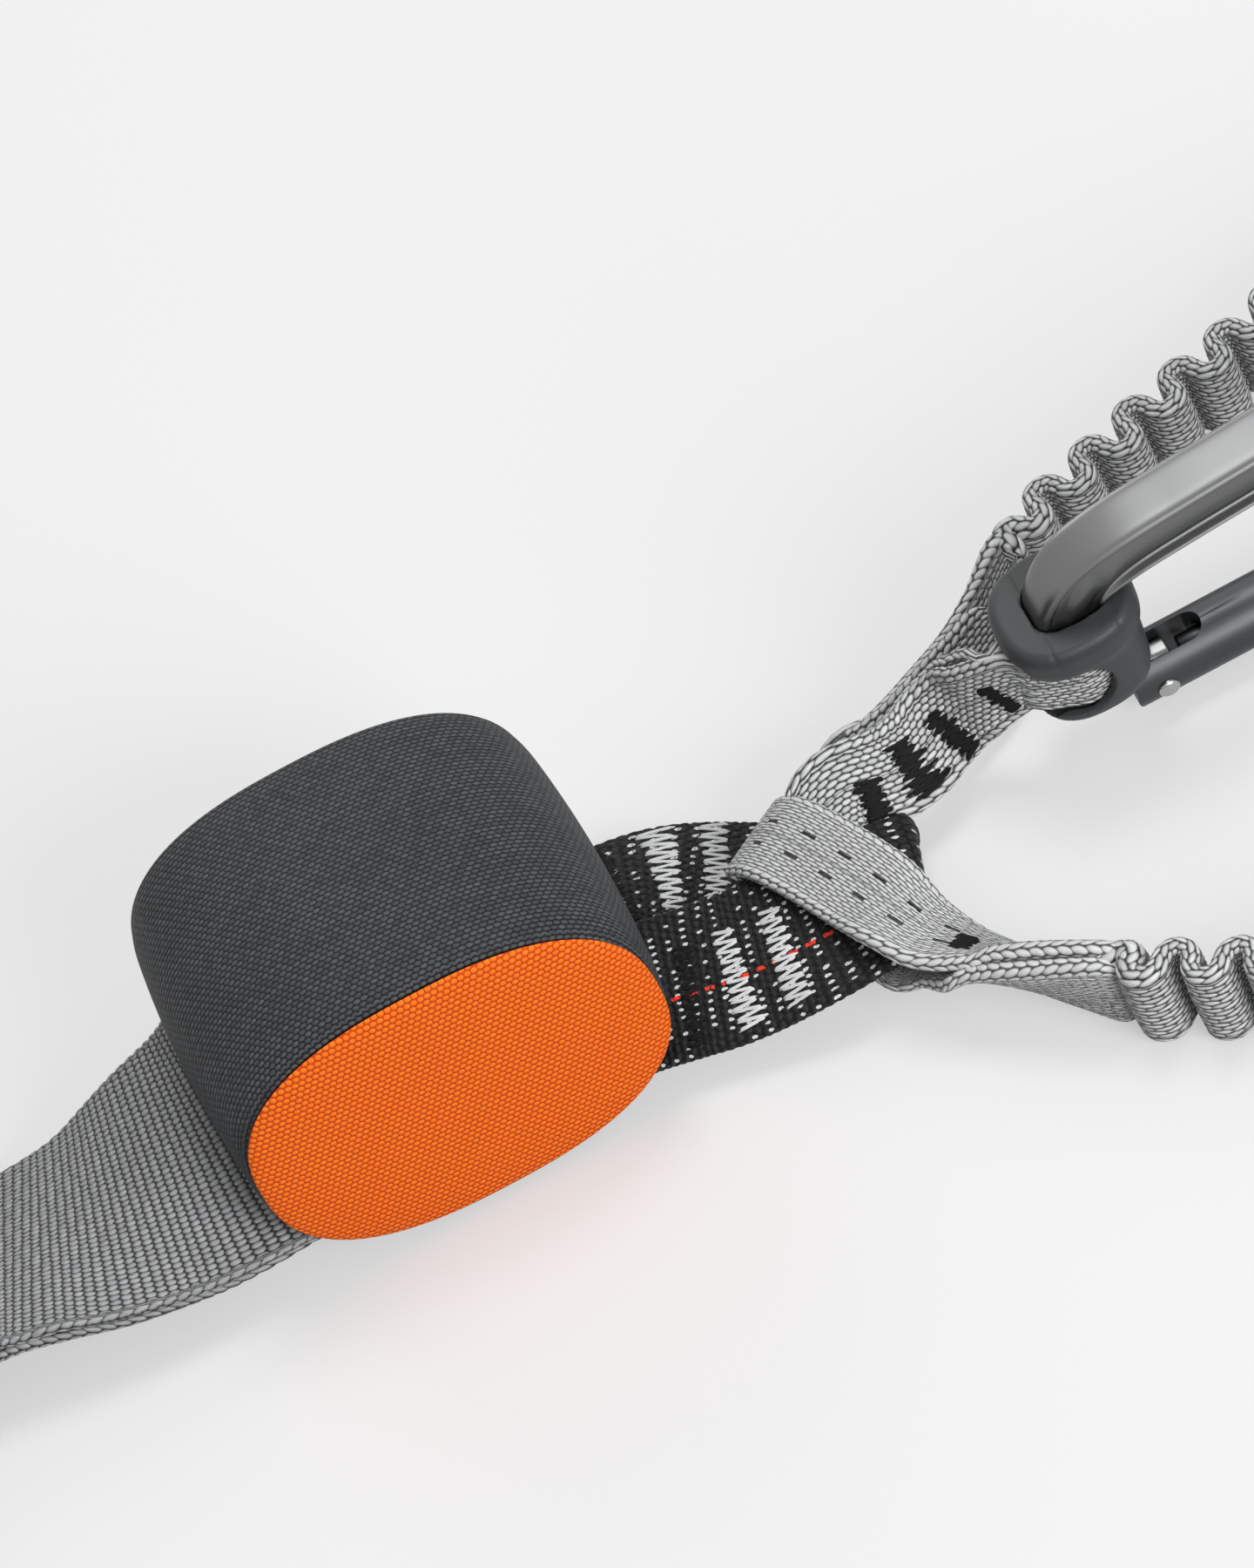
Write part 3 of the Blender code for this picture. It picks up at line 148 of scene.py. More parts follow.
# The carabiner bar: x, y, width, thickness and groove
FRAME_PATH = (
    (0.026, 0.0, 0.62, 0.47, 0.0), (-0.01, 0.0, 0.68, 0.47, 0.0),
    (-0.052, 0.01, 0.74, 0.47, 0.0), (-0.083, 0.042, 0.82, 0.49, 0.0),
    (-0.1, 0.086, 0.96, 0.88, 0.0), (-0.105, 0.14, 1.0, 0.96, 0.0),
    (-0.105, 0.222, 1.0, 0.96, 0.0), (-0.093, 0.282, 1.0, 0.97, 0.2),
    (-0.055, 0.33, 1.0, 0.98, 0.5), (0.012, 0.354, 1.0, 1.0, 0.9),
    (0.12, 0.368, 1.0, 1.0, 1.0), (0.27, 0.383, 1.0, 1.0, 1.0),
    (0.42, 0.4, 1.0, 1.0, 1.0), (0.57, 0.414, 1.0, 1.0, 1.0),
    (0.69, 0.416, 1.0, 1.0, 0.9), (0.79, 0.39, 1.0, 1.0, 0.5),
    (0.866, 0.33, 1.0, 0.98, 0.2), (0.903, 0.25, 1.0, 0.98, 0.0),
    (0.903, 0.165, 1.0, 0.97, 0.0), (0.868, 0.088, 0.98, 0.94, 0.0),
    (0.805, 0.034, 0.94, 0.9, 0.0), (0.73, 0.006, 0.88, 0.84, 0.0),
    (0.668, -0.005, 0.78, 0.74, 0.0), (0.632, -0.008, 0.62, 0.48, 0.0),
    (0.575, -0.008, 0.52, 0.46, 0.0),
)


class Slot(StrEnum):
    """Material slots of the record, passed along with each piece."""

    GREY_WEBBING = auto()
    ARM_WEBBING = auto()
    BLACK_WEBBING = auto()
    CHARCOAL_FABRIC = auto()
    ORANGE_FABRIC = auto()
    TEAR_WEBBING = auto()
    ZIP_COIL = auto()
    BRIGHT_STEEL = auto()
    FORGED_ALUMINIUM = auto()
    ANODISED_ALUMINIUM = auto()
    KEEPER_RUBBER = auto()


class Side(Enum):
    """Which face of a webbing a stitch lies on."""

    FACE = 1.0
    BACK = -1.0


def preset(node: Node, **values: object) -> None:
    """Sets inputs by name, with underscores for spaces. Args: node, values."""
    for label, value in values.items():
        node.inputs[label.replace("_", " ")].default_value = value


def sized(sizes: object) -> dict[str, float]:
    """Float fields of a dataclass as named inputs. Args: sizes. Returns: them by name."""
    return {key.capitalize(): value for key, value in vars(sizes).items()
            if isinstance(value, float)}


class NodeGraph:
    """A node tree with short calls for its nodes and sums."""

    def __init__(self, tree: NodeTree) -> None:
        """Keeps the tree. Args: tree: the tree that nodes are added to."""
        self.tree = tree

    def add(self, kind: str, **settings: object) -> Node:
        """Adds a node. Args: kind: its type name, settings: its attributes. Returns: it."""
        node = self.tree.nodes.new(kind)
        for key, value in settings.items():
            setattr(node, key, value)
        return node

    def put(self, target: NodeSocket, value: object) -> None:
        """Links a socket to an input or sets a value on it. Args: target, value."""
        if isinstance(value, NodeSocket):
            self.tree.links.new(value, target)
        else:
            target.default_value = value

    def sum(self, operation: str, *values: object) -> NodeSocket:
        """One Math node. Args: operation, values: its inputs. Returns: its output."""
        node = self.add("ShaderNodeMath", operation=operation)
        for target, value in zip(node.inputs, values):
            self.put(target, value)
        return node.outputs[0]

    def blend(self, factor: object, first: object, second: object) -> NodeSocket:
        """Mixes two colours.

        Args:
            factor: 0 for the first, 1 for the second.
            first: red, green and blue, or a socket.
            second: red, green and blue, or a socket.

        Returns:
            The mixed colour.
        """
        node = self.add("ShaderNodeMix", data_type="RGBA")
        self.put(node.inputs[0], factor)
        for target, colour in ((node.inputs[6], first), (node.inputs[7], second)):
            self.put(target, (*colour, 1.0) if isinstance(colour, tuple) else colour)
        return node.outputs[2]

    def fade(self, value: object, low: float, high: float) -> NodeSocket:
        """Smooth step from 0 at low to 1 at high. Args: value, low, high. Returns: it."""
        node = self.add("ShaderNodeMapRange", interpolation_type="SMOOTHSTEP")
        for target, given in zip(node.inputs, (value, low, high)):
            self.put(target, given)
        return node.outputs[0]

    def split(self, place: NodeSocket) -> list[NodeSocket]:
        """Takes a vector apart. Args: place. Returns: its x, y and z."""
        node = self.add("ShaderNodeSeparateXYZ")
        self.put(node.inputs[0], place)
        return list(node.outputs)

    def merge(self, *parts: NodeSocket) -> NodeSocket:
        """Puts a vector together. Args: parts: x, y and z. Returns: the vector."""
        node = self.add("ShaderNodeCombineXYZ")
        for target, part in zip(node.inputs, parts):
            self.put(target, part)
        return node.outputs[0]

    def noise(self, place: NodeSocket, scale: object, detail: float,
              dimensions: str = "3D") -> NodeSocket:
        """One noise texture.

        Args:
            place: where it is read.
            scale: how fine it is.
            detail: its finer steps.
            dimensions: 2D or 3D.

        Returns:
            Its value.
        """
        node = self.add("ShaderNodeTexNoise", noise_dimensions=dimensions)
        for label, value in (("Vector", place), ("Scale", scale), ("Detail", detail)):
            self.put(node.inputs[label], value)
        return node.outputs[0]

    def bump(self, shader: Node, height: NodeSocket, distance: float) -> None:
        """Feeds a height to a shader. Args: shader, height, distance: metres at height 1."""
        node = self.add("ShaderNodeBump")
        preset(node, Strength=1.0, Distance=distance)
        self.put(node.inputs["Height"], height)
        self.put(shader.inputs["Normal"], node.outputs[0])


def new_material(name: str) -> tuple[Material, NodeGraph, Node]:
    """Makes a material. Args: name. Returns: it, its graph and its shader."""
    made = bpy.data.materials.new(name)
    made.use_nodes = True
    return made, NodeGraph(made.node_tree), made.node_tree.nodes["Principled BSDF"]


class EffectGroup:
    """A shader node group with named inputs and outputs, built once."""

    def __init__(self, name: str, outputs: Sequence[str], **inputs: float) -> None:
        """Makes the empty group, whose first input is Place.

        Args:
            name: the group's name.
            outputs: the names of the outputs, all plain values.
            inputs: the defaults of the other inputs, by name.
        """
        self.tree = bpy.data.node_groups.new(name, "ShaderNodeTree")
        self.graph = NodeGraph(self.tree)
        new_socket = self.tree.interface.new_socket
        new_socket("Place", in_out="INPUT", socket_type="NodeSocketVector")
        for label, default in inputs.items():
            made = new_socket(label, in_out="INPUT", socket_type="NodeSocketFloat")
            made.default_value = default
        for label in outputs:
            new_socket(label, in_out="OUTPUT", socket_type="NodeSocketFloat")
        self.entry = self.graph.add("NodeGroupInput")
        self.leave = self.graph.add("NodeGroupOutput")

    def given(self, label: str) -> NodeSocket:
        """The group's own input of that name. Args: label: its name. Returns: the socket."""
        return self.entry.outputs[label]

    def gives(self, **values: NodeSocket) -> None:
        """Links the outputs. Args: values: the sockets that feed them, by name."""
        for label, value in values.items():
            self.tree.links.new(value, self.leave.inputs[label])

    def use(self, graph: NodeGraph, **values: object) -> Node:
        """Places the group. Args: graph: the material's, values by name. Returns: its node."""
        node = graph.add("ShaderNodeGroup", node_tree=self.tree)
        for label, value in values.items():
            graph.put(node.inputs[label], value)
        return node


class Effects:
    """The shader groups that more than one finish uses."""

    def __init__(self) -> None:
        """Builds every group once."""
        self.knuckles = self.make_knuckles()
        self.dashes = self.make_dashes()
        self.fibres = self.make_grain("yarn_fibres", 2.0)
        self.brushing = self.make_grain("surface_grain", 3.0)

    @staticmethod
    def make_knuckles() -> EffectGroup:
        """Yarn knuckles in rows on a map in metres.

        Returns:
            The group: Dome is each knuckle's height, Gap the mask of the painted
            shade between them, Tone a random value for each one and Row 1 on every second row.
        """
        group = EffectGroup("woven_knuckles", KNUCKLE_OUTPUTS, **sized(Knit(0.002, 0.001)))
        graph, given = group.graph, group.given
        along, across, _ = graph.split(given("Place"))
        drift = graph.noise(given("Place"), 260.0, 1.0, "2D")
        wander = graph.sum("MULTIPLY", graph.sum("SUBTRACT", drift, 0.5), given("Wander"))
        leaned = graph.sum("ADD", along, graph.sum(
            "MULTIPLY", graph.sum("ABSOLUTE", across), given("Slant")))
        rows = graph.sum("ADD", graph.sum("DIVIDE", across, given("Across")), wander)
        row = graph.sum("FLOOR", rows)
        odd = graph.sum("FLOORED_MODULO", row, 2.0)
        cells = graph.sum("ADD", graph.sum("DIVIDE", leaned, given("Along")),
                          graph.sum("MULTIPLY", odd, given("Stagger")))
        cells = graph.sum("ADD", cells, wander)
        column = graph.sum("FLOOR", cells)
        reach = []
        for place, cell, share in ((cells, column, "Length"), (rows, row, "Breadth")):
            offset = graph.sum("SUBTRACT", graph.sum("SUBTRACT", place, cell), 0.5)
            half = graph.sum("MULTIPLY", given(share), 0.5)
            scaled = graph.sum("DIVIDE", graph.sum("ABSOLUTE", offset), half)
            reach.append(graph.sum("MULTIPLY", scaled, scaled))
        square = graph.sum("ADD", *reach)
        dome = graph.sum("SQRT", graph.sum("MAXIMUM", graph.sum("SUBTRACT", 1.0, square), 0.0))
        chance = graph.add("ShaderNodeTexWhiteNoise", noise_dimensions="2D")
        graph.put(chance.inputs["Vector"], graph.merge(column, row))
        # The gap mask marks the recesses between knuckles, where painted shade goes.
        group.gives(Dome=dome, Gap=graph.fade(square, 0.62, 1.35),
                    Tone=chance.outputs["Value"], Row=odd)
        return group

    @staticmethod
    def make_dashes() -> EffectGroup:
        """A row of short dashes along the webbing.

        Returns:
            The group, whose Mask is 1 on a dash.
        """
        group = EffectGroup("thread_dashes", ("Mask",),
                            **sized(Dash((0.0, 0.0, 0.0), 0.003, 0.6, 0.0, 0.0006)))
        graph, given = group.graph, group.given
        along, across, _ = graph.split(given("Place"))
        cells = graph.sum("ADD", graph.sum("DIVIDE", along, given("Along")), given("Shift"))
        phase = graph.sum("SUBTRACT", cells, graph.sum("FLOOR", cells))
        away = graph.sum("ABSOLUTE", graph.sum("SUBTRACT", across, given("Row")))
        tests = (("LESS_THAN", phase, given("Length")),
                 ("LESS_THAN", away, graph.sum("MULTIPLY", given("Breadth"), 0.5)),
                 ("GREATER_THAN", along, given("Start")), ("LESS_THAN", along, given("End")))
        inside, near, after, before = (graph.sum(*test) for test in tests)
        group.gives(Mask=graph.sum("MULTIPLY", graph.sum("MULTIPLY", inside, near),
                                   graph.sum("MULTIPLY", after, before)))
        return group

    @staticmethod
    def make_grain(name: str, detail: float) -> EffectGroup:
        """Fine grain of yarn, metal or rubber, with a slow change over the surface.

        Args:
            name: the group's name.
            detail: the detail of its two noises.

        Returns:
            The group, whose Fine is the grain and Slow the change.
        """
        group = EffectGroup(name, ("Fine", "Slow"), Fineness=3000.0, Stretch=1.0, Patch=60.0)
        graph, given = group.graph, group.given
        along, across, up = graph.split(given("Place"))
        drawn = graph.merge(graph.sum("MULTIPLY", along, given("Stretch")), across, up)
        group.gives(Fine=graph.noise(drawn, given("Fineness"), detail),
                    Slow=graph.noise(given("Place"), given("Patch"), detail))
        return group


KNUCKLE_OUTPUTS = ("Dome", "Gap", "Tone", "Row")


@dataclass(frozen=True)
class Knit:
    """Sizes of the knuckles of one weave, in metres and shares of a pitch."""

    along: float
    across: float
    stagger: float = 0.5
    length: float = 0.96
    breadth: float = 0.92
    slant: float = 0.0
    wander: float = 0.15
    crosswise: bool = False


@dataclass(frozen=True)
class Dash:
    """A row of dashes of another yarn, between two places along the webbing."""

    colour: tuple[float, float, float]
    along: float
    length: float
    row: float
    breadth: float
    shift: float = 0.0
    start: float = -1.0
    end: float = 1.0


@dataclass(frozen=True)
class WovenFinish:
    """Finish of a woven piece: yarn colours, gap shade painted in, weave, selvedge and rows of
    dashes.
    """

    name: str
    light: tuple[float, float, float]
    shade: tuple[float, float, float]
    # Colour of the painted shade in the recesses between knuckles.
    gap: tuple[float, float, float]
    knit: Knit
    selvedge: Knit | None = None
    selvedge_reach: float = 0.0022
    dashes: tuple[Dash, ...] = ()
    speckle: Knit | None = None
    speckle_colour: tuple[float, float, float] = (0.6, 0.61, 0.62)
    speckle_share: float = 0.7
    scatter: float = 0.3
    row_change: float = 0.1
    roughness: float = 0.78
    sheen: float = 0.15
    specular: float = 0.3
    depth: float = 0.00035

    def build(self, effects: Effects) -> Material:
        """Makes the material.

        Args:
            effects: the shared shader groups.

        Returns:
            The material.
        """
        made, graph, shader = new_material(self.name)
        weave = graph.add("ShaderNodeUVMap", uv_map="weave").outputs[0]
        face = self.placed(effects, graph, weave, self.knit).outputs
        dome, gap, tone, row = (face[label] for label in KNUCKLE_OUTPUTS)
        if self.selvedge is not None:
            edge_map = graph.add("ShaderNodeUVMap", uv_map="selvedge").outputs[0]
            edge = self.placed(effects, graph, edge_map, self.selvedge).outputs
            inner = graph.fade(graph.sum("ABSOLUTE", graph.split(edge_map)[1]),
                               self.selvedge_reach * 0.93, self.selvedge_reach * 1.07)
            dome, gap, tone, row = (self.crossed(graph, inner, edge[label], face[label])
                                    for label in KNUCKLE_OUTPUTS)
        fibres = effects.fibres.use(graph, Place=weave, Fineness=3200.0, Stretch=0.22,
                                    Patch=45.0)
        streak, cloud = fibres.outputs["Fine"], fibres.outputs["Slow"]
        mixed = graph.sum("MULTIPLY_ADD", streak, 0.6, 0.2)
        for value, weight in ((tone, self.scatter), (cloud, 0.3), (row, self.row_change)):
            mixed = graph.sum("ADD", mixed, graph.sum("MULTIPLY_ADD", value, weight,
                                                      -weight / 2))
        colour = graph.blend(graph.fade(mixed, 0.1, 0.9), self.light, self.shade)
        # Painted shade: the recesses between knuckles are darkened to stand in for their shadow.
        colour = graph.blend(gap, colour, self.gap)
        if self.speckle is not None:
            spot = self.placed(effects, graph, weave, self.speckle).outputs
            kept = graph.sum("LESS_THAN", spot["Tone"], self.speckle_share)
            kept = graph.sum("MULTIPLY", kept, graph.fade(spot["Dome"], 0.1, 0.45))
            colour = graph.blend(kept, colour, self.speckle_colour)
        for dash in self.dashes:
            faces = graph.add("ShaderNodeUVMap", uv_map="faces").outputs[0]
            mask = effects.dashes.use(graph, Place=faces, **sized(dash)).outputs["Mask"]
            colour = graph.blend(mask, colour, dash.colour)
        graph.put(shader.inputs["Base Color"], colour)
        graph.bump(shader, graph.sum("ADD", dome, graph.sum("MULTIPLY", streak, 0.22)),
                   self.depth)
        preset(shader, Roughness=self.roughness, Sheen_Weight=self.sheen, Sheen_Roughness=0.5,
               Specular_IOR_Level=self.specular)
        return made

    @staticmethod
    def placed(effects: Effects, graph: NodeGraph, place: NodeSocket,
               knit: Knit) -> Node:
        """One weave. Args: effects, graph, place: a map in metres, knit. Returns: its node."""
        if knit.crosswise:
            along, across, _ = graph.split(place)
            place = graph.merge(across, along)
        return effects.knuckles.use(graph, Place=place, **sized(knit))

    @staticmethod
    def crossed(graph: NodeGraph, factor: object, first: object,
                second: object) -> NodeSocket:
        """Mixes two values. Args: graph, factor 0 to 1, first, second. Returns: the mix."""
        node = graph.add("ShaderNodeMix", data_type="FLOAT")
        graph.put(node.inputs[0], factor)
        graph.put(node.inputs[2], first)
        graph.put(node.inputs[3], second)
        return node.outputs[0]


@dataclass(frozen=True)
class SolidFinish:
    """Finish of metal, rubber or plastic: one colour with a fine grain."""

    name: str
    colour: tuple[float, float, float]
    roughness: float
    metallic: float = 0.0
    fineness: float = 2500.0
    stretch: float = 1.0
    grain: float = 0.00001
    vary: float = 0.08
    specular: float = 0.4

    def build(self, effects: Effects) -> Material:
        """Makes the material.

        Args:
            effects: the shared shader groups.

        Returns:
            The material.
        """
        made, graph, shader = new_material(self.name)
        place = graph.add("ShaderNodeTexCoord").outputs["Object"]
        grain = effects.brushing.use(graph, Place=place, Fineness=self.fineness,
                                     Stretch=self.stretch, Patch=70.0).outputs
        deep = tuple(v * (1 - 2 * self.vary) for v in self.colour)
        graph.put(shader.inputs["Base Color"], graph.blend(
            graph.fade(grain["Slow"], 0.25, 0.75), deep, self.colour))
        spread = graph.sum("MULTIPLY", graph.sum("SUBTRACT", grain["Fine"], 0.5), self.vary * 2)
        graph.put(shader.inputs["Roughness"], graph.sum("ADD", spread, self.roughness))
        graph.bump(shader, grain["Fine"], self.grain)
        preset(shader, Metallic=self.metallic, Specular_IOR_Level=self.specular)
        return made


# The third colour of each woven finish is the painted shade between its knuckles.
GREY_YARN = WovenFinish(
    "harness_webbing", (0.44, 0.445, 0.45), (0.24, 0.244, 0.25),
    (0.012, 0.012, 0.013), Knit(0.001, 0.00158, 0.5, 0.97, 0.93, 0.0, 0.08, True),
    Knit(0.002, 0.0013, 0.5, 0.98, 0.94, 0.9), 0.0016, depth=0.0005,
    scatter=0.12, row_change=0.04)
ARM_YARN = WovenFinish(
    "arm_webbing", (0.72, 0.725, 0.73), (0.4, 0.405, 0.41),
    (0.01, 0.01, 0.011), Knit(0.00185, 0.00088, 0.5, 0.99, 0.92, 0.0, 0.22),
    Knit(0.00205, 0.00118, 0.5, 0.99, 0.93, 0.95, 0.1), 0.0026, scatter=0.16,
    depth=0.0005)
STRAP_DASHES = tuple(Dash((0.01, 0.01, 0.011), 0.0076, 0.36, row, 0.00062, shift, 0.026,
                          0.07) for row, shift in ((-0.0022, 0.03), (0.0022, 0.03)))
STRAP_YARN = WovenFinish(
    "strap_webbing", (0.66, 0.665, 0.67), (0.5, 0.505, 0.51),
    (0.05, 0.05, 0.052), Knit(0.0023, 0.00058, 0.42, 1.04, 0.9, 0.0, 0.25),
    Knit(0.00205, 0.00118, 0.5, 0.99, 0.93, 0.95, 0.1), 0.002, STRAP_DASHES,
    scatter=0.1, depth=0.0003)
BLACK_YARN = WovenFinish(
    "black_webbing", (0.024, 0.025, 0.027), (0.01, 0.01, 0.011),
    (0.0012, 0.0012, 0.0012), Knit(0.0014, 0.00126, 0.5, 0.97, 0.92, 0.0, 0.1, True),
    dashes=(Dash((0.82, 0.045, 0.02), 0.0028, 0.55, -0.0026, 0.0006, 0.0, 0.02, 0.056),),
    speckle=Knit(0.00252, 0.0014, 0.0, 0.36, 0.42, 0.0, 0.35), speckle_share=0.66,
    roughness=0.6, specular=0.16, sheen=0.04, depth=0.0006)
CHARCOAL_YARN = WovenFinish(
    "charcoal_fabric", (0.086, 0.091, 0.097), (0.036, 0.039, 0.042),
    (0.003, 0.003, 0.004), Knit(0.00124, 0.0009, 0.5, 0.95, 0.86, 0.0, 0.07),
    scatter=0.34, roughness=0.62, specular=0.18, depth=0.00036, sheen=0.02)
ORANGE_YARN = WovenFinish(
    "orange_fabric", (0.97, 0.2, 0.012), (0.9, 0.155, 0.008),
    (0.56, 0.04, 0.002), Knit(0.00112, 0.00092, 0.5, 0.98, 0.92, 0.0, 0.06),
    scatter=0.16, roughness=0.7, specular=0.16, depth=0.00026, sheen=0.02)
TEAR_YARN = WovenFinish(
    "tear_webbing", (0.62, 0.6, 0.54), (0.42, 0.4, 0.35),
    (0.1, 0.09, 0.07), Knit(0.002, 0.001))
TAPE_YARN = WovenFinish(
    "zip_tape", (0.02, 0.021, 0.023), (0.01, 0.01, 0.011),
    (0.002, 0.002, 0.002), Knit(0.0009, 0.00045), depth=0.00012, specular=0.16, sheen=0.04)
PALE_THREAD = SolidFinish("pale_thread", (0.7, 0.705, 0.71), 0.72, fineness=6000.0,
                          grain=0.00005, vary=0.14)
DARK_THREAD = SolidFinish("dark_thread", (0.008, 0.008, 0.009), 0.62, fineness=6000.0,
                          grain=0.00005, vary=0.14, specular=0.12)
BAR_SILVER = SolidFinish("forged_aluminium", (0.185, 0.187, 0.188), 0.34, 1.0, 900.0,
                         0.12, 0.0000015, 0.03)
GATE_GREY = SolidFinish("anodised_aluminium", (0.072, 0.076, 0.08), 0.42, 0.9, 2600.0,
                        0.1, 0.000004, 0.05)
STEEL = SolidFinish("bright_steel", (0.46, 0.46, 0.455), 0.27, 1.0, 1800.0, 0.5,
                    0.000002, 0.03)
# Painted shade: near-black plunger steel, standing in for the shade inside the gate's slot and
# bore.
SHADED_PIN_STEEL = SolidFinish("pin_steel_painted_shade", (0.055, 0.056, 0.058), 0.42, 1.0, 1800.0, 0.5,
                        0.000002, 0.03)
RUBBER = SolidFinish("keeper_rubber", (0.03, 0.032, 0.034), 0.5, 0.0, 4500.0, 1.0,
                     0.00004, 0.1)
COIL_PLASTIC = SolidFinish("zip_coil", (0.02, 0.021, 0.023), 0.38, 0.0)


def unit(values: ndarray) -> ndarray:
    """Scales vectors to length one. Args: values. Returns: the unit vectors."""
    values = np.asarray(values, float)
    return values / np.maximum(np.linalg.norm(values, axis=-1, keepdims=True), 1e-12)


def squared(across: ndarray, tangent: ndarray) -> ndarray:
    """Turns directions square to a line. Args: across, tangent. Returns: unit vectors."""
    return unit(across - tangent * np.sum(across * tangent, axis=1, keepdims=True))


def travelled(points: ndarray) -> ndarray:
    """Distance run along a line. Args: points. Returns: the distance at each of them."""
    return np.concatenate([[0.0], np.cumsum(np.linalg.norm(np.diff(points, axis=0), axis=1))])


def normals(rows: ndarray) -> ndarray:
    """Directions out of a webbing's face. Args: rows: stations. Returns: unit vectors."""
    tangent = unit(np.gradient(rows[:, :3], axis=0))
    return unit(np.cross(unit(rows[:, 3:6]), tangent))


def two_layers(rows: ndarray, apart: float,
               towards: Sequence[float]) -> tuple[ndarray, ndarray]:
    """Stations of two layers on both sides of a middle line.

    Args:
        rows: stations of the middle line.
        apart: the distance between the layers.
        towards: on which side of the line the first layer starts.

    Returns:
        The stations of both layers.
    """
    shift = normals(rows) * apart / 2
    if np.dot(shift[0], towards) < 0:
        shift = -shift
    first, second = rows.copy(), rows.copy()
    first[:, :3] += shift
    second[:, :3] -= shift
    return first, second


def squircle(sides: int, half_u: float, half_v: float, power: float) -> tuple:
    """Superellipse round the origin.

    Args:
        sides: points round it.
        half_u: half its size one way.
        half_v: half its size the other way.
        power: 2 for an ellipse, more for a squarer one.

    Returns:
        Both coordinates of its points.
    """
    angle = 2 * math.pi * (np.arange(sides) + 0.5) / sides
    c, s = np.cos(angle), np.sin(angle)
    return (half_u * np.sign(c) * np.abs(c) ** (2 / power),
            half_v * np.sign(s) * np.abs(s) ** (2 / power))


def smooth(points: Sequence[Sequence[float]], steps: int) -> ndarray:
    """Catmull-Rom curve through rows of any width.

    Args:
        points: the rows.
        steps: how many parts each stretch between rows gets.

    Returns:
        The dense rows.
    """
    rows = np.asarray(points, float)
    padded = np.vstack([2 * rows[0] - rows[1], rows, 2 * rows[-1] - rows[-2]])
    t = (np.arange(steps) / steps)[:, None]
    out = []
    for i in range(1, len(padded) - 2):
        p0, p1, p2, p3 = padded[i - 1:i + 3]
        out.append(0.5 * (2 * p1 + (p2 - p0) * t + (2 * p0 - 5 * p1 + 4 * p2 - p3) * t ** 2
                          + (3 * p1 - p0 - 3 * p2 + p3) * t ** 3))
    out.append(rows[-1:])
    return np.vstack(out)


def resample(rows: ndarray, step: float) -> ndarray:
    """Spaces rows evenly. Args: rows, step: the spacing in metres. Returns: new rows."""
    gone = travelled(rows[:, :3])
    at = np.linspace(0.0, gone[-1], max(3, int(math.ceil(gone[-1] / step)) + 1))
    return np.stack([np.interp(at, gone, rows[:, k]) for k in range(rows.shape[1])], axis=1)


def stations(table: Sequence[Sequence[float]]) -> ndarray:
    """Turns a table of shares into metres. Args: table. Returns: rows in metres."""
    rows = np.array(table, float)
    rows[:, :3] *= REACH
    return rows


def add_object(name: str, data: object) -> Object:
    """Links a new object. Args: name, data: its mesh, lamp or camera. Returns: it."""
    item = bpy.data.objects.new(name, data)
    bpy.context.scene.collection.objects.link(item)
    return item


def shade(mesh: Mesh, soft: bool) -> None:
    """Shades a mesh smooth or flat. Args: mesh, soft."""
    mesh.polygons.foreach_set("use_smooth", [soft] * len(mesh.polygons))


def make_object(name: str, verts: ndarray, faces: Iterable[Sequence[int]],
                material: Material | None = None, soft: bool = True) -> Object:
    """Makes a mesh object in the scene.

    Args:
        name: the object's name.
        verts: its points.
        faces: its faces.
        material: its finish.
        soft: whether it is shaded smooth.

    Returns:
        The object.
    """
    mesh = bpy.data.meshes.new(name)
    mesh.from_pydata(np.asarray(verts, float).tolist(), [], [list(f) for f in faces])
    mesh.update()
    if material is not None:
        mesh.materials.append(material)
    shade(mesh, soft)
    return add_object(name, mesh)


def corners(mesh: Mesh) -> ndarray:
    """The vertex of each face corner. Args: mesh. Returns: their numbers."""
    corner = np.zeros(len(mesh.loops), np.int64)
    mesh.loops.foreach_get("vertex_index", corner)
    return corner


def points_of(mesh: Mesh) -> ndarray:
    """The places of a mesh's vertices. Args: mesh. Returns: rows of x, y and z."""
    places = np.zeros(len(mesh.vertices) * 3)
    mesh.vertices.foreach_get("co", places)
    return places.reshape(-1, 3)


def write_map(mesh: Mesh, label: str, first: ndarray, second: ndarray) -> None:
    """Adds a map. Args: mesh, label, first and second: coordinates at each corner."""
    layer = mesh.uv_layers.new(name=label)
    layer.uv.foreach_set("vector", np.stack([first, second], axis=1).astype(np.float32).ravel())


def front_map(mesh: Mesh) -> None:
    """Maps a mesh by its x and z. Args: mesh."""
    flat = points_of(mesh)[corners(mesh)]
    write_map(mesh, "weave", flat[:, 0], flat[:, 2])


def closed_faces(verts: ndarray, rows: int, count: int,
                 ring: bool = False) -> list[tuple[int, ...]]:
    """Faces of a closed body of rings, turned outwards.

    Args:
        verts: its points, ring after ring.
        rows: number of rings.
        count: points in each ring.
        ring: whether the last ring joins the first, so that there are no end caps.

    Returns:
        The faces.
    """
    i = np.arange(rows if ring else rows - 1)[:, None]
    k = np.arange(count)[None, :]
    after, following = (k + 1) % count, (i + 1) % rows
    quads = np.stack([i * count + k, i * count + after, following * count + after,
                      following * count + k], axis=-1)
    faces = [tuple(q) for q in quads.reshape(-1, 4).tolist()]
    if not ring:
        faces.append(tuple(reversed(range(count))))
        faces.append(tuple((rows - 1) * count + k for k in range(count)))
    quads = np.array([f for f in faces if len(f) == 4])
    a, b, c, d = (verts[quads[:, k]] for k in range(4))
    if np.sum(np.cross(a, b) * c) + np.sum(np.cross(a, c) * d) <= 0:
        faces = [tuple(reversed(f)) for f in faces]
    return faces


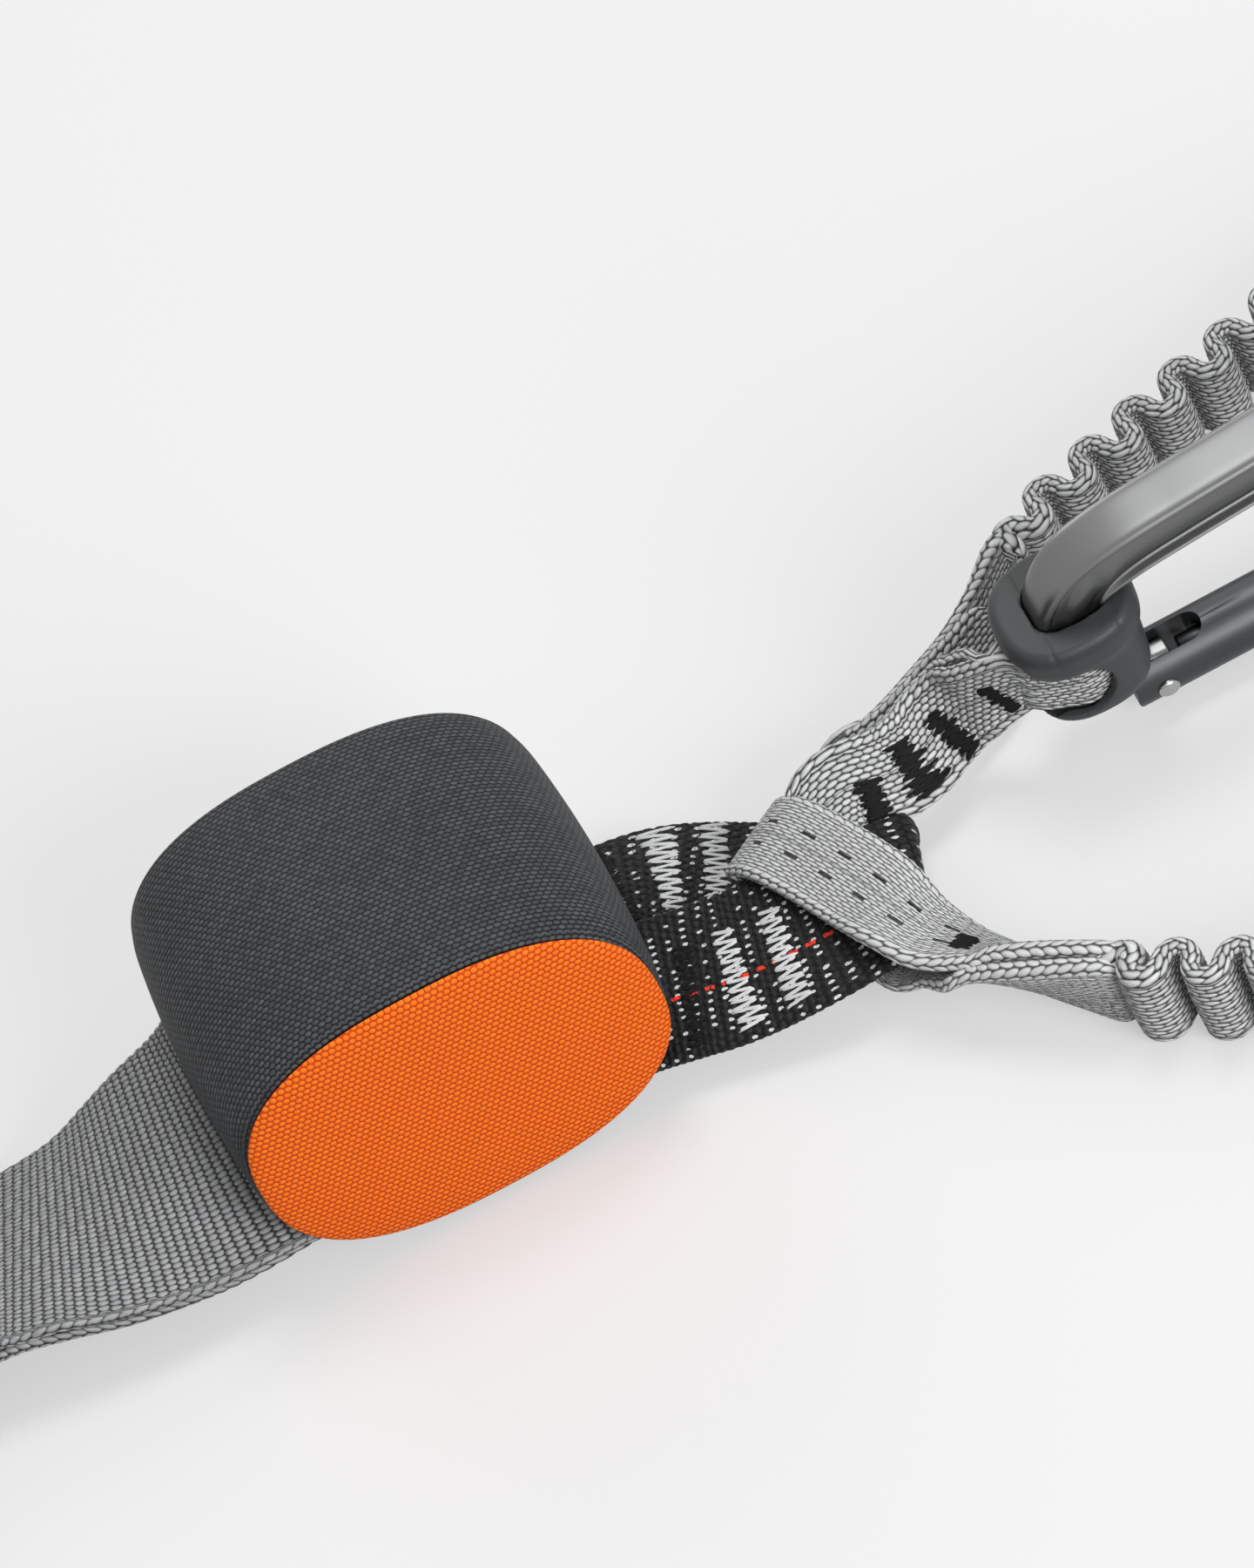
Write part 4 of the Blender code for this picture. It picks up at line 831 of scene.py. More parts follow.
def lofted(name: str, rings: ndarray, material: Material | None = None,
           ring: bool = False) -> Object:
    """Closed smooth solid through rings of equal count.

    Args:
        name: the object's name.
        rings: an array of rings, points and coordinates.
        material: its finish.
        ring: whether the last ring joins the first, so that there are no end caps.

    Returns:
        The object.
    """
    rings = np.asarray(rings, float)
    verts = rings.reshape(-1, 3)
    return make_object(name, verts, closed_faces(verts, *rings.shape[:2], ring), material)


def joined(name: str, items: Sequence[Object]) -> Object:
    """Joins meshes into one object.

    Args:
        name: the new name.
        items: the objects, all meshes with materials.

    Returns:
        The one object.
    """
    work = bmesh.new()
    looks: list[Material] = []
    for item in items:
        first = len(work.faces)
        shift = []
        for look in item.data.materials:
            if look not in looks:
                looks.append(look)
            shift.append(looks.index(look))
        part = item.data.copy()
        part.transform(item.matrix_world)
        work.from_mesh(part)
        work.faces.ensure_lookup_table()
        for face in work.faces[first:]:
            face.material_index = shift[min(face.material_index, len(shift) - 1)]
        bpy.data.meshes.remove(part)
        bpy.data.objects.remove(item)
    mesh = bpy.data.meshes.new(name)
    work.to_mesh(mesh)
    work.free()
    for look in looks:
        mesh.materials.append(look)
    return add_object(name, mesh)


def baked(item: Object) -> Object:
    """Applies an object's modifiers. Args: item. Returns: the same object."""
    graph = bpy.context.evaluated_depsgraph_get()
    mesh = bpy.data.meshes.new_from_object(item.evaluated_get(graph))
    item.modifiers.clear()
    item.data = mesh
    return item


def carved(item: Object, tools: Sequence[Object]) -> Object:
    """Cuts tools out of a piece and removes them.

    Args:
        item: the piece.
        tools: closed meshes.

    Returns:
        The piece, with its modifiers applied.
    """
    for tool in tools:
        step = item.modifiers.new("cut", "BOOLEAN")
        step.operation = "DIFFERENCE"
        step.solver = "EXACT"
        step.object = tool
    baked(item)
    for tool in tools:
        bpy.data.objects.remove(tool)
    return item


def moulded(item: Object, voxel: float, rounds: int) -> Object:
    """Remeshes a piece evenly and softens its edges, as a mould does.

    Args:
        item: the piece.
        voxel: the size of the new mesh's cells.
        rounds: how many times it is smoothed.

    Returns:
        The piece.
    """
    remesh = item.modifiers.new("remesh", "REMESH")
    remesh.mode = "VOXEL"
    remesh.voxel_size = voxel
    remesh.use_smooth_shade = True
    soften = item.modifiers.new("soften", "SMOOTH")
    soften.factor = 0.5
    soften.iterations = rounds
    return baked(item)


def crisp(item: Object, radius: float, angle: float = 32.0) -> Object:
    """Bevels the sharp edges of a machined piece and shades the rest smooth.

    Args:
        item: the piece.
        radius: the bevel's width.
        angle: edges sharper than this, in degrees, are bevelled.

    Returns:
        The piece.
    """
    step = item.modifiers.new("bevel", "BEVEL")
    step.width = radius
    step.segments = 3
    step.limit_method = "ANGLE"
    step.angle_limit = math.radians(angle)
    step.harden_normals = True
    step.use_clamp_overlap = True
    shade(item.data, True)
    return baked(item)


@dataclass
class Webbing:
    """Woven band along dense stations, with rounded selvedges.

    The map named weave is measured in metres: along the band, and round it from the
    middle of its face. The map named selvedge has the distance from the nearest edge.
    """

    name: str
    centres: ndarray
    across: ndarray
    width: ndarray
    thickness: ndarray
    finish: Material
    face_step: float = 0.0006
    edge_steps: int = 8
    crown: float = 0.0
    taper: float = 0.0
    relief: Callable[[ndarray, ndarray, ndarray], ndarray] | None = None
    gone: ndarray = field(init=False)
    side: ndarray = field(init=False)
    normal: ndarray = field(init=False)
    wide: float = field(init=False)
    thick: float = field(init=False)

    def __post_init__(self) -> None:
        """Works out the frames of the stations."""
        count = len(self.centres)
        tangent = unit(np.gradient(self.centres, axis=0))
        self.side = squared(self.across, tangent)
        self.normal = np.cross(self.side, tangent)
        self.width = np.broadcast_to(np.asarray(self.width, float), count)
        self.thickness = np.broadcast_to(np.asarray(self.thickness, float), count)
        self.gone = travelled(self.centres)
        if self.taper > 0:
            for away in (self.gone, self.gone[-1] - self.gone):
                near = 1.0 - np.clip(away / self.taper, 0.0, 1.0)
                rounded = np.sqrt(np.clip(1.0 - near ** 2, 0.0, 1.0))
                self.width = self.width * (0.5 + 0.5 * rounded)
                self.thickness = self.thickness * (0.25 + 0.75 * rounded)
        self.wide, self.thick = float(np.max(self.width)), float(np.median(self.thickness))

    def section(self) -> tuple[ndarray, ...]:
        """Points of the section round the band.

        Returns:
            The share across, the offset across and up in half thicknesses, the distance
            round and the distance from the nearest selvedge.
        """
        half, arc = (self.wide - self.thick) / 2, math.pi * self.thick / 2
        flat = max(2, int(round((self.wide - self.thick) / self.face_step)))
        shares = np.linspace(1.0, -1.0, flat + 1)
        points = []
        place = -half
        for sign in (1.0, -1.0):
            for s in shares * sign:
                outer = -sign * np.sign(s * sign + 1e-9)
                points.append((s, 0.0, sign, place + half - s * sign * half,
                               (half - abs(s) * half + arc / 2) * outer))
            place += 2 * half
            for a in np.linspace(0.0, math.pi, self.edge_steps + 1)[1:-1]:
                points.append((-sign, -sign * math.sin(a), sign * math.cos(a),
                               place + arc * a / math.pi, arc * (a / math.pi - 0.5)))
            place += arc
        return tuple(np.array(points, float).T)

    def build(self) -> Object:
        """Makes the mesh with its maps.

        Returns:
            The object.
        """
        share, out, up, around, edge = self.section()
        half_t = (self.thickness / 2)[:, None]
        half_w = (self.width / 2)[:, None] - half_t
        swell = 1.0 + self.crown * (1.0 - share ** 2)
        lateral = share[None, :] * half_w + out[None, :] * half_t
        lift = up[None, :] * half_t * swell[None, :]
        if self.relief is not None:
            raised = self.relief(self.gone[:, None], around[None, :], edge[None, :])
            lateral = lateral + out[None, :] * raised
            lift = lift + up[None, :] * raised
        verts = (self.centres[:, None, :] + self.side[:, None, :] * lateral[..., None]
                 + self.normal[:, None, :] * lift[..., None])
        item = lofted(self.name, verts, self.finish)
        level = share * (self.wide - self.thick) / 2 + out * self.thick / 2
        self.map(item.data, around, edge, level)
        return item

    def map(self, mesh: Mesh, around: ndarray, edge: ndarray,
            level: ndarray) -> None:
        """Writes the three maps.

        Args:
            mesh: the band's mesh.
            around: distance round the section at each of its points.
            edge: distance from the nearest selvedge at each point.
            level: distance across the band at each point.
        """
        count, corner = len(around), corners(mesh)
        total = np.zeros(len(mesh.polygons), np.int64)
        mesh.polygons.foreach_get("loop_total", total)
        face = np.repeat(np.arange(len(total)), total)
        point = corner % count
        seam = ((face % count == count - 1) & (point == 0)
                & (face < (len(self.centres) - 1) * count))
        round_at = np.where(seam, around[-1] + around[1] - around[0], around[point])
        for label, second in (("weave", round_at), ("selvedge", edge[point]),
                              ("faces", level[point])):
            write_map(mesh, label, self.gone[corner // count], second)
        mesh.uv_layers["weave"].active_render = True

    def at(self, along: float, across: float, side: Side, lift: float = 0.0) -> ndarray:
        """A point on the band's face.

        Args:
            along: distance from the band's start.
            across: distance from its middle line.
            side: which face.
            lift: height above the face.

        Returns:
            The point.
        """
        pick = [np.interp(along, self.gone, column) for column in
                (*self.centres.T, *self.side.T, *self.normal.T, self.thickness, self.width)]
        centre, right, normal = (np.array(pick[k:k + 3]) for k in (0, 3, 6))
        share = across / self.wide * pick[10]
        return centre + unit(right) * share + unit(normal) * side.value * (pick[9] / 2 + lift)


def thread(points: ndarray, radius: float, sides: int = 7) -> tuple[ndarray, list]:
    """Points and faces of a round thread along a line.

    Args:
        points: the line.
        radius: the thread's radius.
        sides: points round it.

    Returns:
        The verts and the faces, closed at both ends.
    """
    points = np.asarray(points, float)
    tangent = unit(np.gradient(points, axis=0))
    helper = np.array([0.0, 0.0, 1.0]) if abs(tangent[0][2]) < 0.9 else np.array([1.0, 0, 0])
    side = np.zeros_like(points)
    last = helper
    for i, t in enumerate(tangent):
        last = unit(last - t * np.dot(last, t))
        side[i] = last
    other = np.cross(tangent, side)
    angles = np.linspace(0, 2 * math.pi, sides, endpoint=False)
    taper = np.ones(len(points))
    taper[0] = taper[-1] = 0.55
    rings = (points[:, None, :] + radius * taper[:, None, None]
             * (side[:, None, :] * np.cos(angles)[None, :, None]
                + other[:, None, :] * np.sin(angles)[None, :, None]))
    verts = rings.reshape(-1, 3)
    return verts, closed_faces(verts, len(points), sides)


@dataclass
class Tack:
    """A bar tack: a zigzag of thick thread across a webbing."""

    start: float
    middle: float
    reach: float
    breadth: float
    zigs: int
    side: Side = Side.FACE
    radius: float = 0.00018
    strands: int = 2
    slope: float = 0.0
    ragged: float = 0.035

    def sew(self, name: str, webbing: Webbing, finish: Material,
            random: np.random.Generator) -> Object:
        """Lays the stitches on the webbing as short arched threads.

        Args:
            name: the object's name.
            webbing: the webbing that it is sewn to.
            finish: the thread's material.
            random: the source of small differences.

        Returns:
            The object.
        """
        verts, faces = [], []
        base = 0
        lanes = 2 * self.zigs
        for k in range(lanes):
            for strand in range(self.strands):
                near = (k + 0.28 * strand) / lanes - 0.5
                far = (k + 0.85 + 0.28 * strand) / lanes - 0.5
                first, last = (random.normal(0.0, self.ragged, 2)
                               + (0.5 if k % 2 else -0.5) * np.array([1, -1]))
                line = []
                for t in np.linspace(0.0, 1.0, 7):
                    run = (near * (1 - t) + far * t) * self.reach
                    swing = (first * (1 - t) + last * t) * self.breadth
                    arch = math.sin(math.pi * t)
                    lift = self.radius * (1.35 * min(arch * 2.2, 1.0) - 0.9)
                    line.append(webbing.at(self.start + swing + self.slope * run,
                                           self.middle + run, self.side, lift))
                v, f = thread(np.array(line), self.radius)
                verts.append(v)
                faces += [tuple(p + base for p in face) for face in f]
                base += len(v)
        return make_object(name, np.vstack(verts), faces, finish)


DARK_TACKS = tuple(
    Tack(start, middle, reach, breadth, zigs, Side.BACK, radius=0.00027, strands=3, ragged=0.13)
    for start, middle, reach, breadth, zigs in (
        (0.0392, -0.0016, 0.007, 0.003, 6), (0.0265, -0.0022, 0.0088, 0.0044, 7),
        (0.0184, -0.0012, 0.0092, 0.0048, 7), (0.0112, -0.0034, 0.0072, 0.0044, 6)))


class Workshop:
    """What every builder needs: the finishes, the random source and the list of pieces."""

    def __init__(self) -> None:
        """Makes the shader groups and an empty list of pieces."""
        self.effects = Effects()
        self.random = np.random.default_rng(7)
        self.finishes: dict[str, Material] = {}
        self.pieces: list[str] = []

    def finish(self, look: WovenFinish | SolidFinish) -> Material:
        """The material of a finish, made once. Args: look. Returns: the material."""
        if look.name not in self.finishes:
            self.finishes[look.name] = look.build(self.effects)
        return self.finishes[look.name]

    def add(self, item: Object, slot: Slot, *nodes: str,
            body: str = "lanyard") -> Object:
        """Puts a finished piece on its body.

        Args:
            item: the piece.
            slot: the record's slot of its finish, not used.
            nodes: the CAD nodes that it stands for.
            body: the body that it moves with.

        Returns:
            The piece.
        """
        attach(item, body)
        if nodes:
            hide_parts(*nodes)
        self.pieces.append(item.name)
        LOG.info("%s: %d faces on %s", item.name, len(item.data.polygons), body)
        return item

    def weave(self, band: Webbing, slot: Slot, node: str) -> Object:
        """Builds a webbing. Args: band, slot, node: what it stands for. Returns: it."""
        LOG.info("%s: %.4f m long", band.name, band.gone[-1])
        return self.add(band.build(), slot, node)

    def sew(self, name: str, band: Webbing, tacks: Sequence[Tack], look: SolidFinish,
            slot: Slot) -> None:
        """Sews tacks on. Args: name: how theirs start, band, tacks, look, slot."""
        for k, tack in enumerate(tacks):
            self.add(tack.sew(f"{name}_{k}", band, self.finish(look), self.random), slot)


@dataclass
class Studio:
    """Camera, lamps, world and floor."""

    target: tuple[float, float, float] = (0.0456, 0.0387, 0.0)
    elevation: float = 45.0
    roll: float = 28.0
    distance: float = 1.2
    tall_view: float = 1.8 / 7.3
    sensor: float = 36.0
    floor_reach: float = 6.0
    lit: tuple[float, float, float] = (0.1, 0.0, 0.01)
    lamps: tuple = (("key", (0.3, 0.25, 1.15), 0.5, 5.6), ("back", (-0.15, 1.1, 0.6), 0.6, 3.0),
                    ("front", (0.6, -1.2, 0.62), 0.7, 18.0))

    def camera(self) -> Object:
        """Makes the camera at the photograph's viewing angle.

        Returns:
            The camera.
        """
        tilt, turn = math.radians(self.elevation), math.radians(self.roll)
        forward = Vector((0, math.cos(tilt), -math.sin(tilt)))
        flat_right = Vector((1, 0, 0))
        flat_up = Vector((0, math.sin(tilt), math.cos(tilt)))
        right = flat_right * math.cos(turn) - flat_up * math.sin(turn)
        up = flat_right * math.sin(turn) + flat_up * math.cos(turn)
        data = bpy.data.cameras.new("camera")
        data.sensor_width = self.sensor
        data.lens = self.sensor * self.distance / self.tall_view
        data.clip_start, data.clip_end = 0.05, 20.0
        item = add_object("camera", data)
        matrix = Matrix((right, up, -forward)).transposed().to_4x4()
        matrix.translation = Vector(self.target) - forward * self.distance
        item.matrix_world = matrix
        bpy.context.scene.camera = item
        return item

    def light(self) -> None:
        """Sets the world and the soft boxes."""
        bpy.context.scene.view_settings.view_transform = "Standard"
        world = bpy.data.worlds.new("studio")
        bpy.context.scene.world = world
        world.use_nodes = True
        graph = NodeGraph(world.node_tree)
        ground = world.node_tree.nodes["Background"]
        graph.put(ground.inputs[0], graph.blend(self.seen(graph), (0.42, 0.422, 0.425),
                                                (0.896, 0.896, 0.896)))
        ground.inputs[1].default_value = 1.0
        for name, spot, size, power in self.lamps:
            data = bpy.data.lights.new(name, "AREA")
            data.shape, data.size, data.energy = "SQUARE", size, power
            item = add_object(name, data)
            item.location = spot
            item.rotation_mode = "QUATERNION"
            aim = Vector(self.lit) - Vector(spot)
            item.rotation_quaternion = aim.to_track_quat("-Z", "Y")

    @staticmethod
    def seen(graph: NodeGraph) -> NodeSocket:
        """1 for rays that show the backdrop. Args: graph. Returns: the value."""
        rays = graph.add("ShaderNodeLightPath").outputs
        return graph.sum("MAXIMUM", rays["Is Camera Ray"], graph.sum(
            "MAXIMUM", rays["Is Glossy Ray"], rays["Is Transmission Ray"]))

    def floor(self) -> None:
        """Lays the pale floor."""
        made, graph, shader = new_material("pale_floor")
        preset(shader, Base_Color=(0.36, 0.36, 0.36, 1.0), Roughness=0.9,
               Specular_IOR_Level=0.0, Emission_Strength=1.0)
        graph.put(shader.inputs["Emission Color"], graph.blend(
            self.seen(graph), (0.0, 0.0, 0.0), (0.47, 0.47, 0.47)))
        reach, low = self.floor_reach, -GAP
        verts = [(-reach, -reach, low), (reach, -reach, low), (reach, reach, low),
                 (-reach, reach, low)]
        item = make_object("floor", np.array(verts), [(0, 1, 2, 3)], made)


def ribbed(pitch_u: float, pitch_v: float, height: float,
           edge_reach: float = 0.0) -> Callable[[ndarray, ndarray, ndarray], ndarray]:
    """Relief of knuckles in brick rows, for the mesh itself.

    Args:
        pitch_u: pitch along the webbing.
        pitch_v: pitch across it.
        height: how far a knuckle stands out.
        edge_reach: within this distance of a selvedge the relief is a chevron.

    Returns:
        A function from the maps to the height.
    """
    def relief(u: ndarray, v: ndarray, e: ndarray) -> ndarray:
        """Height of the knuckles. Args: u, v, e: the maps. Returns: metres."""
        row = np.floor(v / pitch_v)
        cell = u / pitch_u + 0.5 * np.mod(row, 2)
        du = (cell - np.floor(cell) - 0.5) * 2
        dv = (v / pitch_v - row - 0.5) * 2
        face = np.sqrt(np.clip(1 - du ** 2 - dv ** 2 * 0.9, 0, 1))
        if edge_reach > 0:
            edge_u = (u + 0.95 * np.abs(e)) / pitch_u / 0.8
            de = (edge_u - np.floor(edge_u) - 0.5) * 2
            chevron = np.sqrt(np.clip(1 - de ** 2, 0, 1))
            face = np.where(np.abs(e) < edge_reach, chevron, face)
        return (face - 0.5) * height
    return relief


@dataclass
class HarnessLoop:
    """Wide grey webbing loop that ties into the harness."""

    width: float = 0.043
    thickness: float = 0.0019
    step: float = 0.00055

    def rows(self) -> ndarray:
        """Out along the top layer, round and back below. Returns: dense stations."""
        upper, lower = two_layers(stations(HARNESS_PATH), self.thickness + GAP, (0, 0, 1))
        return resample(smooth(np.vstack([upper, stations(HARNESS_EYE), lower[::-1]]), 12),
                        self.step)

    def build(self, shop: Workshop) -> None:
        """Builds and dresses the loop. Args: shop."""
        rows = self.rows()
        band = Webbing("harness_webbing", rows[:, :3], rows[:, 3:6], self.width,
                       self.thickness * 1.04, shop.finish(GREY_YARN), 0.00059, 6, 0.06,
                       relief=ribbed(0.0022, 0.00118, 0.00026))
        shop.weave(band, Slot.GREY_WEBBING, "harness_loop")


@dataclass
class BlackLoop:
    """Black webbing loop that comes out of the pouch and carries the arms."""

    width: float = 0.027
    thickness: float = 0.0018
    step: float = 0.0004
    pale: tuple[Tack, ...] = (
        Tack(0.036, -0.0026, 0.0182, 0.0046, 10, Side.BACK, slope=-0.1),
        Tack(0.044, -0.0024, 0.0178, 0.0046, 10, Side.BACK, slope=-0.04),
        Tack(0.1128, 0.0034, 0.0182, 0.0046, 10, Side.FACE, slope=0.22),
        Tack(0.1056, 0.0044, 0.0166, 0.0046, 10, Side.FACE, slope=0.26),
    )
    dark: tuple[Tack, ...] = (
        Tack(0.1205, 0.003, 0.018, 0.004, 10, Side.FACE, slope=0.18),
        Tack(0.0285, -0.003, 0.018, 0.004, 10, Side.BACK),
    )

    def build(self, shop: Workshop) -> None:
        """Builds and dresses the loop and its tacks. Args: shop."""
        rows = resample(smooth(stations(BLACK_PATH), 12), self.step)
        band = Webbing("black_loop_webbing", rows[:, :3], rows[:, 3:6], self.width,
                       self.thickness, shop.finish(BLACK_YARN), 0.00042, 6, 0.1,
                       relief=ribbed(0.00135, 0.00125, 0.0003))
        shop.weave(band, Slot.BLACK_WEBBING, "black_loop")
        shop.sew("black_loop_pale_tack", band, self.pale, PALE_THREAD, Slot.BLACK_WEBBING)
        shop.sew("black_loop_dark_tack", band, self.dark, DARK_THREAD, Slot.BLACK_WEBBING)


@dataclass
class ArmEye:
    """Sewn end of an arm: two layers and the single layer that goes round the black loop."""

    tag: str
    stack: tuple
    eye: tuple
    near_count: int
    look: WovenFinish
    width: float = 0.016
    thickness: float = 0.0028
    step: float = 0.00042
    tacks: tuple[Tack, ...] = ()

    def layer(self, side: float) -> ndarray:
        """One sewn layer. Args: side: 1 for the far one, -1 for the near. Returns: stations."""
        rows = stations(self.stack)
        rows[:, :3] += normals(rows) * side * (rows[:, 6:7] * self.thickness + GAP) / 2
        return rows

    def build(self, shop: Workshop) -> None:
        """Builds and dresses the eye. Args: shop."""
        far = self.layer(1.0)[::-1]
        near = self.layer(-1.0)[:self.near_count]
        rows = resample(smooth(np.vstack([far, stations(self.eye), near]), 10), self.step)
        band = Webbing(f"{self.tag}_eye_webbing", rows[:, :3], rows[:, 3:6],
                       rows[:, 7] * self.width, rows[:, 6] * self.thickness,
                       shop.finish(self.look), 0.00045, 10, 0.1, 0.005,
                       ribbed(0.0019, 0.0007, 0.00018, 0.0024))
        shop.weave(band, Slot.ARM_WEBBING, f"{self.tag}_arm_eye")
        shop.sew(f"{self.tag}_eye_tack", band, self.tacks, DARK_THREAD, Slot.ARM_WEBBING)


@dataclass
class ElasticArm:
    """Arm of gathered tube webbing, standing on edge, with its half turn at the far end."""

    tag: str
    plan: tuple
    turn_side: float
    lead: tuple[float, float]
    width: float = 0.016
    thickness: float = 0.003
    turn_radius: float = 0.031
    turn_steps: int = 9
    pitch: float = 0.0098
    amplitude: float = 0.003
    roundness: float = 0.8
    per_pleat: int = 30

    def line(self, tucked: bool) -> ndarray:
        """Dense plan centreline of the arm.

        Args:
            tucked: whether it starts inside the sewn end.

        Returns:
            Points in the plane.
        """
        plan = ((self.lead,) if tucked else ()) + self.plan
        points = np.array(plan, float) * REACH
        end = points[-1]
        angle = math.pi * np.arange(1, self.turn_steps + 1) / self.turn_steps
        arc = np.stack([end[0] + self.turn_radius * np.sin(angle),
                        end[1] + self.turn_side * self.turn_radius * (1 - np.cos(angle))],
                       axis=1)
        return smooth(np.vstack([points, arc]), 10)

    def build(self, shop: Workshop) -> None:
        """Args: shop."""
        line = self.line(True)
        gone = travelled(line)
        total = float(gone[-1])
        pleats = max(4, round(total / self.pitch))
        pitch = total / pleats
        swing = self.roundness * pitch / (4 * math.pi)
        phase = np.linspace(0.0, 2 * math.pi * pleats, pleats * self.per_pleat + 1)
        ramp = np.clip(np.minimum(phase, phase[-1] - phase) / (1.5 * math.pi), 0.0, 1.0)
        ramp = ramp * ramp * (3 - 2 * ramp)
        place = pitch * phase / (2 * math.pi) - swing * ramp * np.sin(2 * phase)
        vary = 1 + 0.1 * np.sin(phase * 0.37 + 1.1) * np.sin(phase * 0.113)
        offset = self.amplitude * ramp * np.sin(phase) * vary
        base = np.stack([np.interp(place, gone, line[:, k]) for k in range(2)], axis=1)
        heading = unit(np.stack([np.interp(place, gone, np.gradient(line[:, k], gone))
                                 for k in range(2)], axis=1))
        side = np.stack([-heading[:, 1], heading[:, 0]], axis=1)
        flat = base + side * offset[:, None]
        height = self.width / 2 + GAP
        centres = np.column_stack([flat, np.full(len(flat), height)])
        across = np.tile(np.array([0.0, 0.0, 1.0]), (len(flat), 1))
        into = travelled(centres)
        to_end = np.minimum(into, into[-1] - into)
        swollen = self.thickness * (1.0 + 0.8 * np.exp(-(to_end / 0.009) ** 2))
        tucked = self.width * (1.0 - 0.06 * np.exp(-(to_end / 0.004) ** 2))
        band = Webbing(f"{self.tag}_arm_webbing", centres, across, tucked, swollen,
                       shop.finish(ARM_YARN), 0.00062, 12, 0.12,
                       relief=ribbed(0.0015, 0.0007, 0.00014, 0.0026))
        item = shop.weave(band, Slot.ARM_WEBBING, f"{self.tag}_elastic_arm")
        plain = self.line(False)
        length = float(np.sum(np.linalg.norm(np.diff(plain, axis=0), axis=1)))
        LOG.info("%s arm length %.4f", self.tag, length)


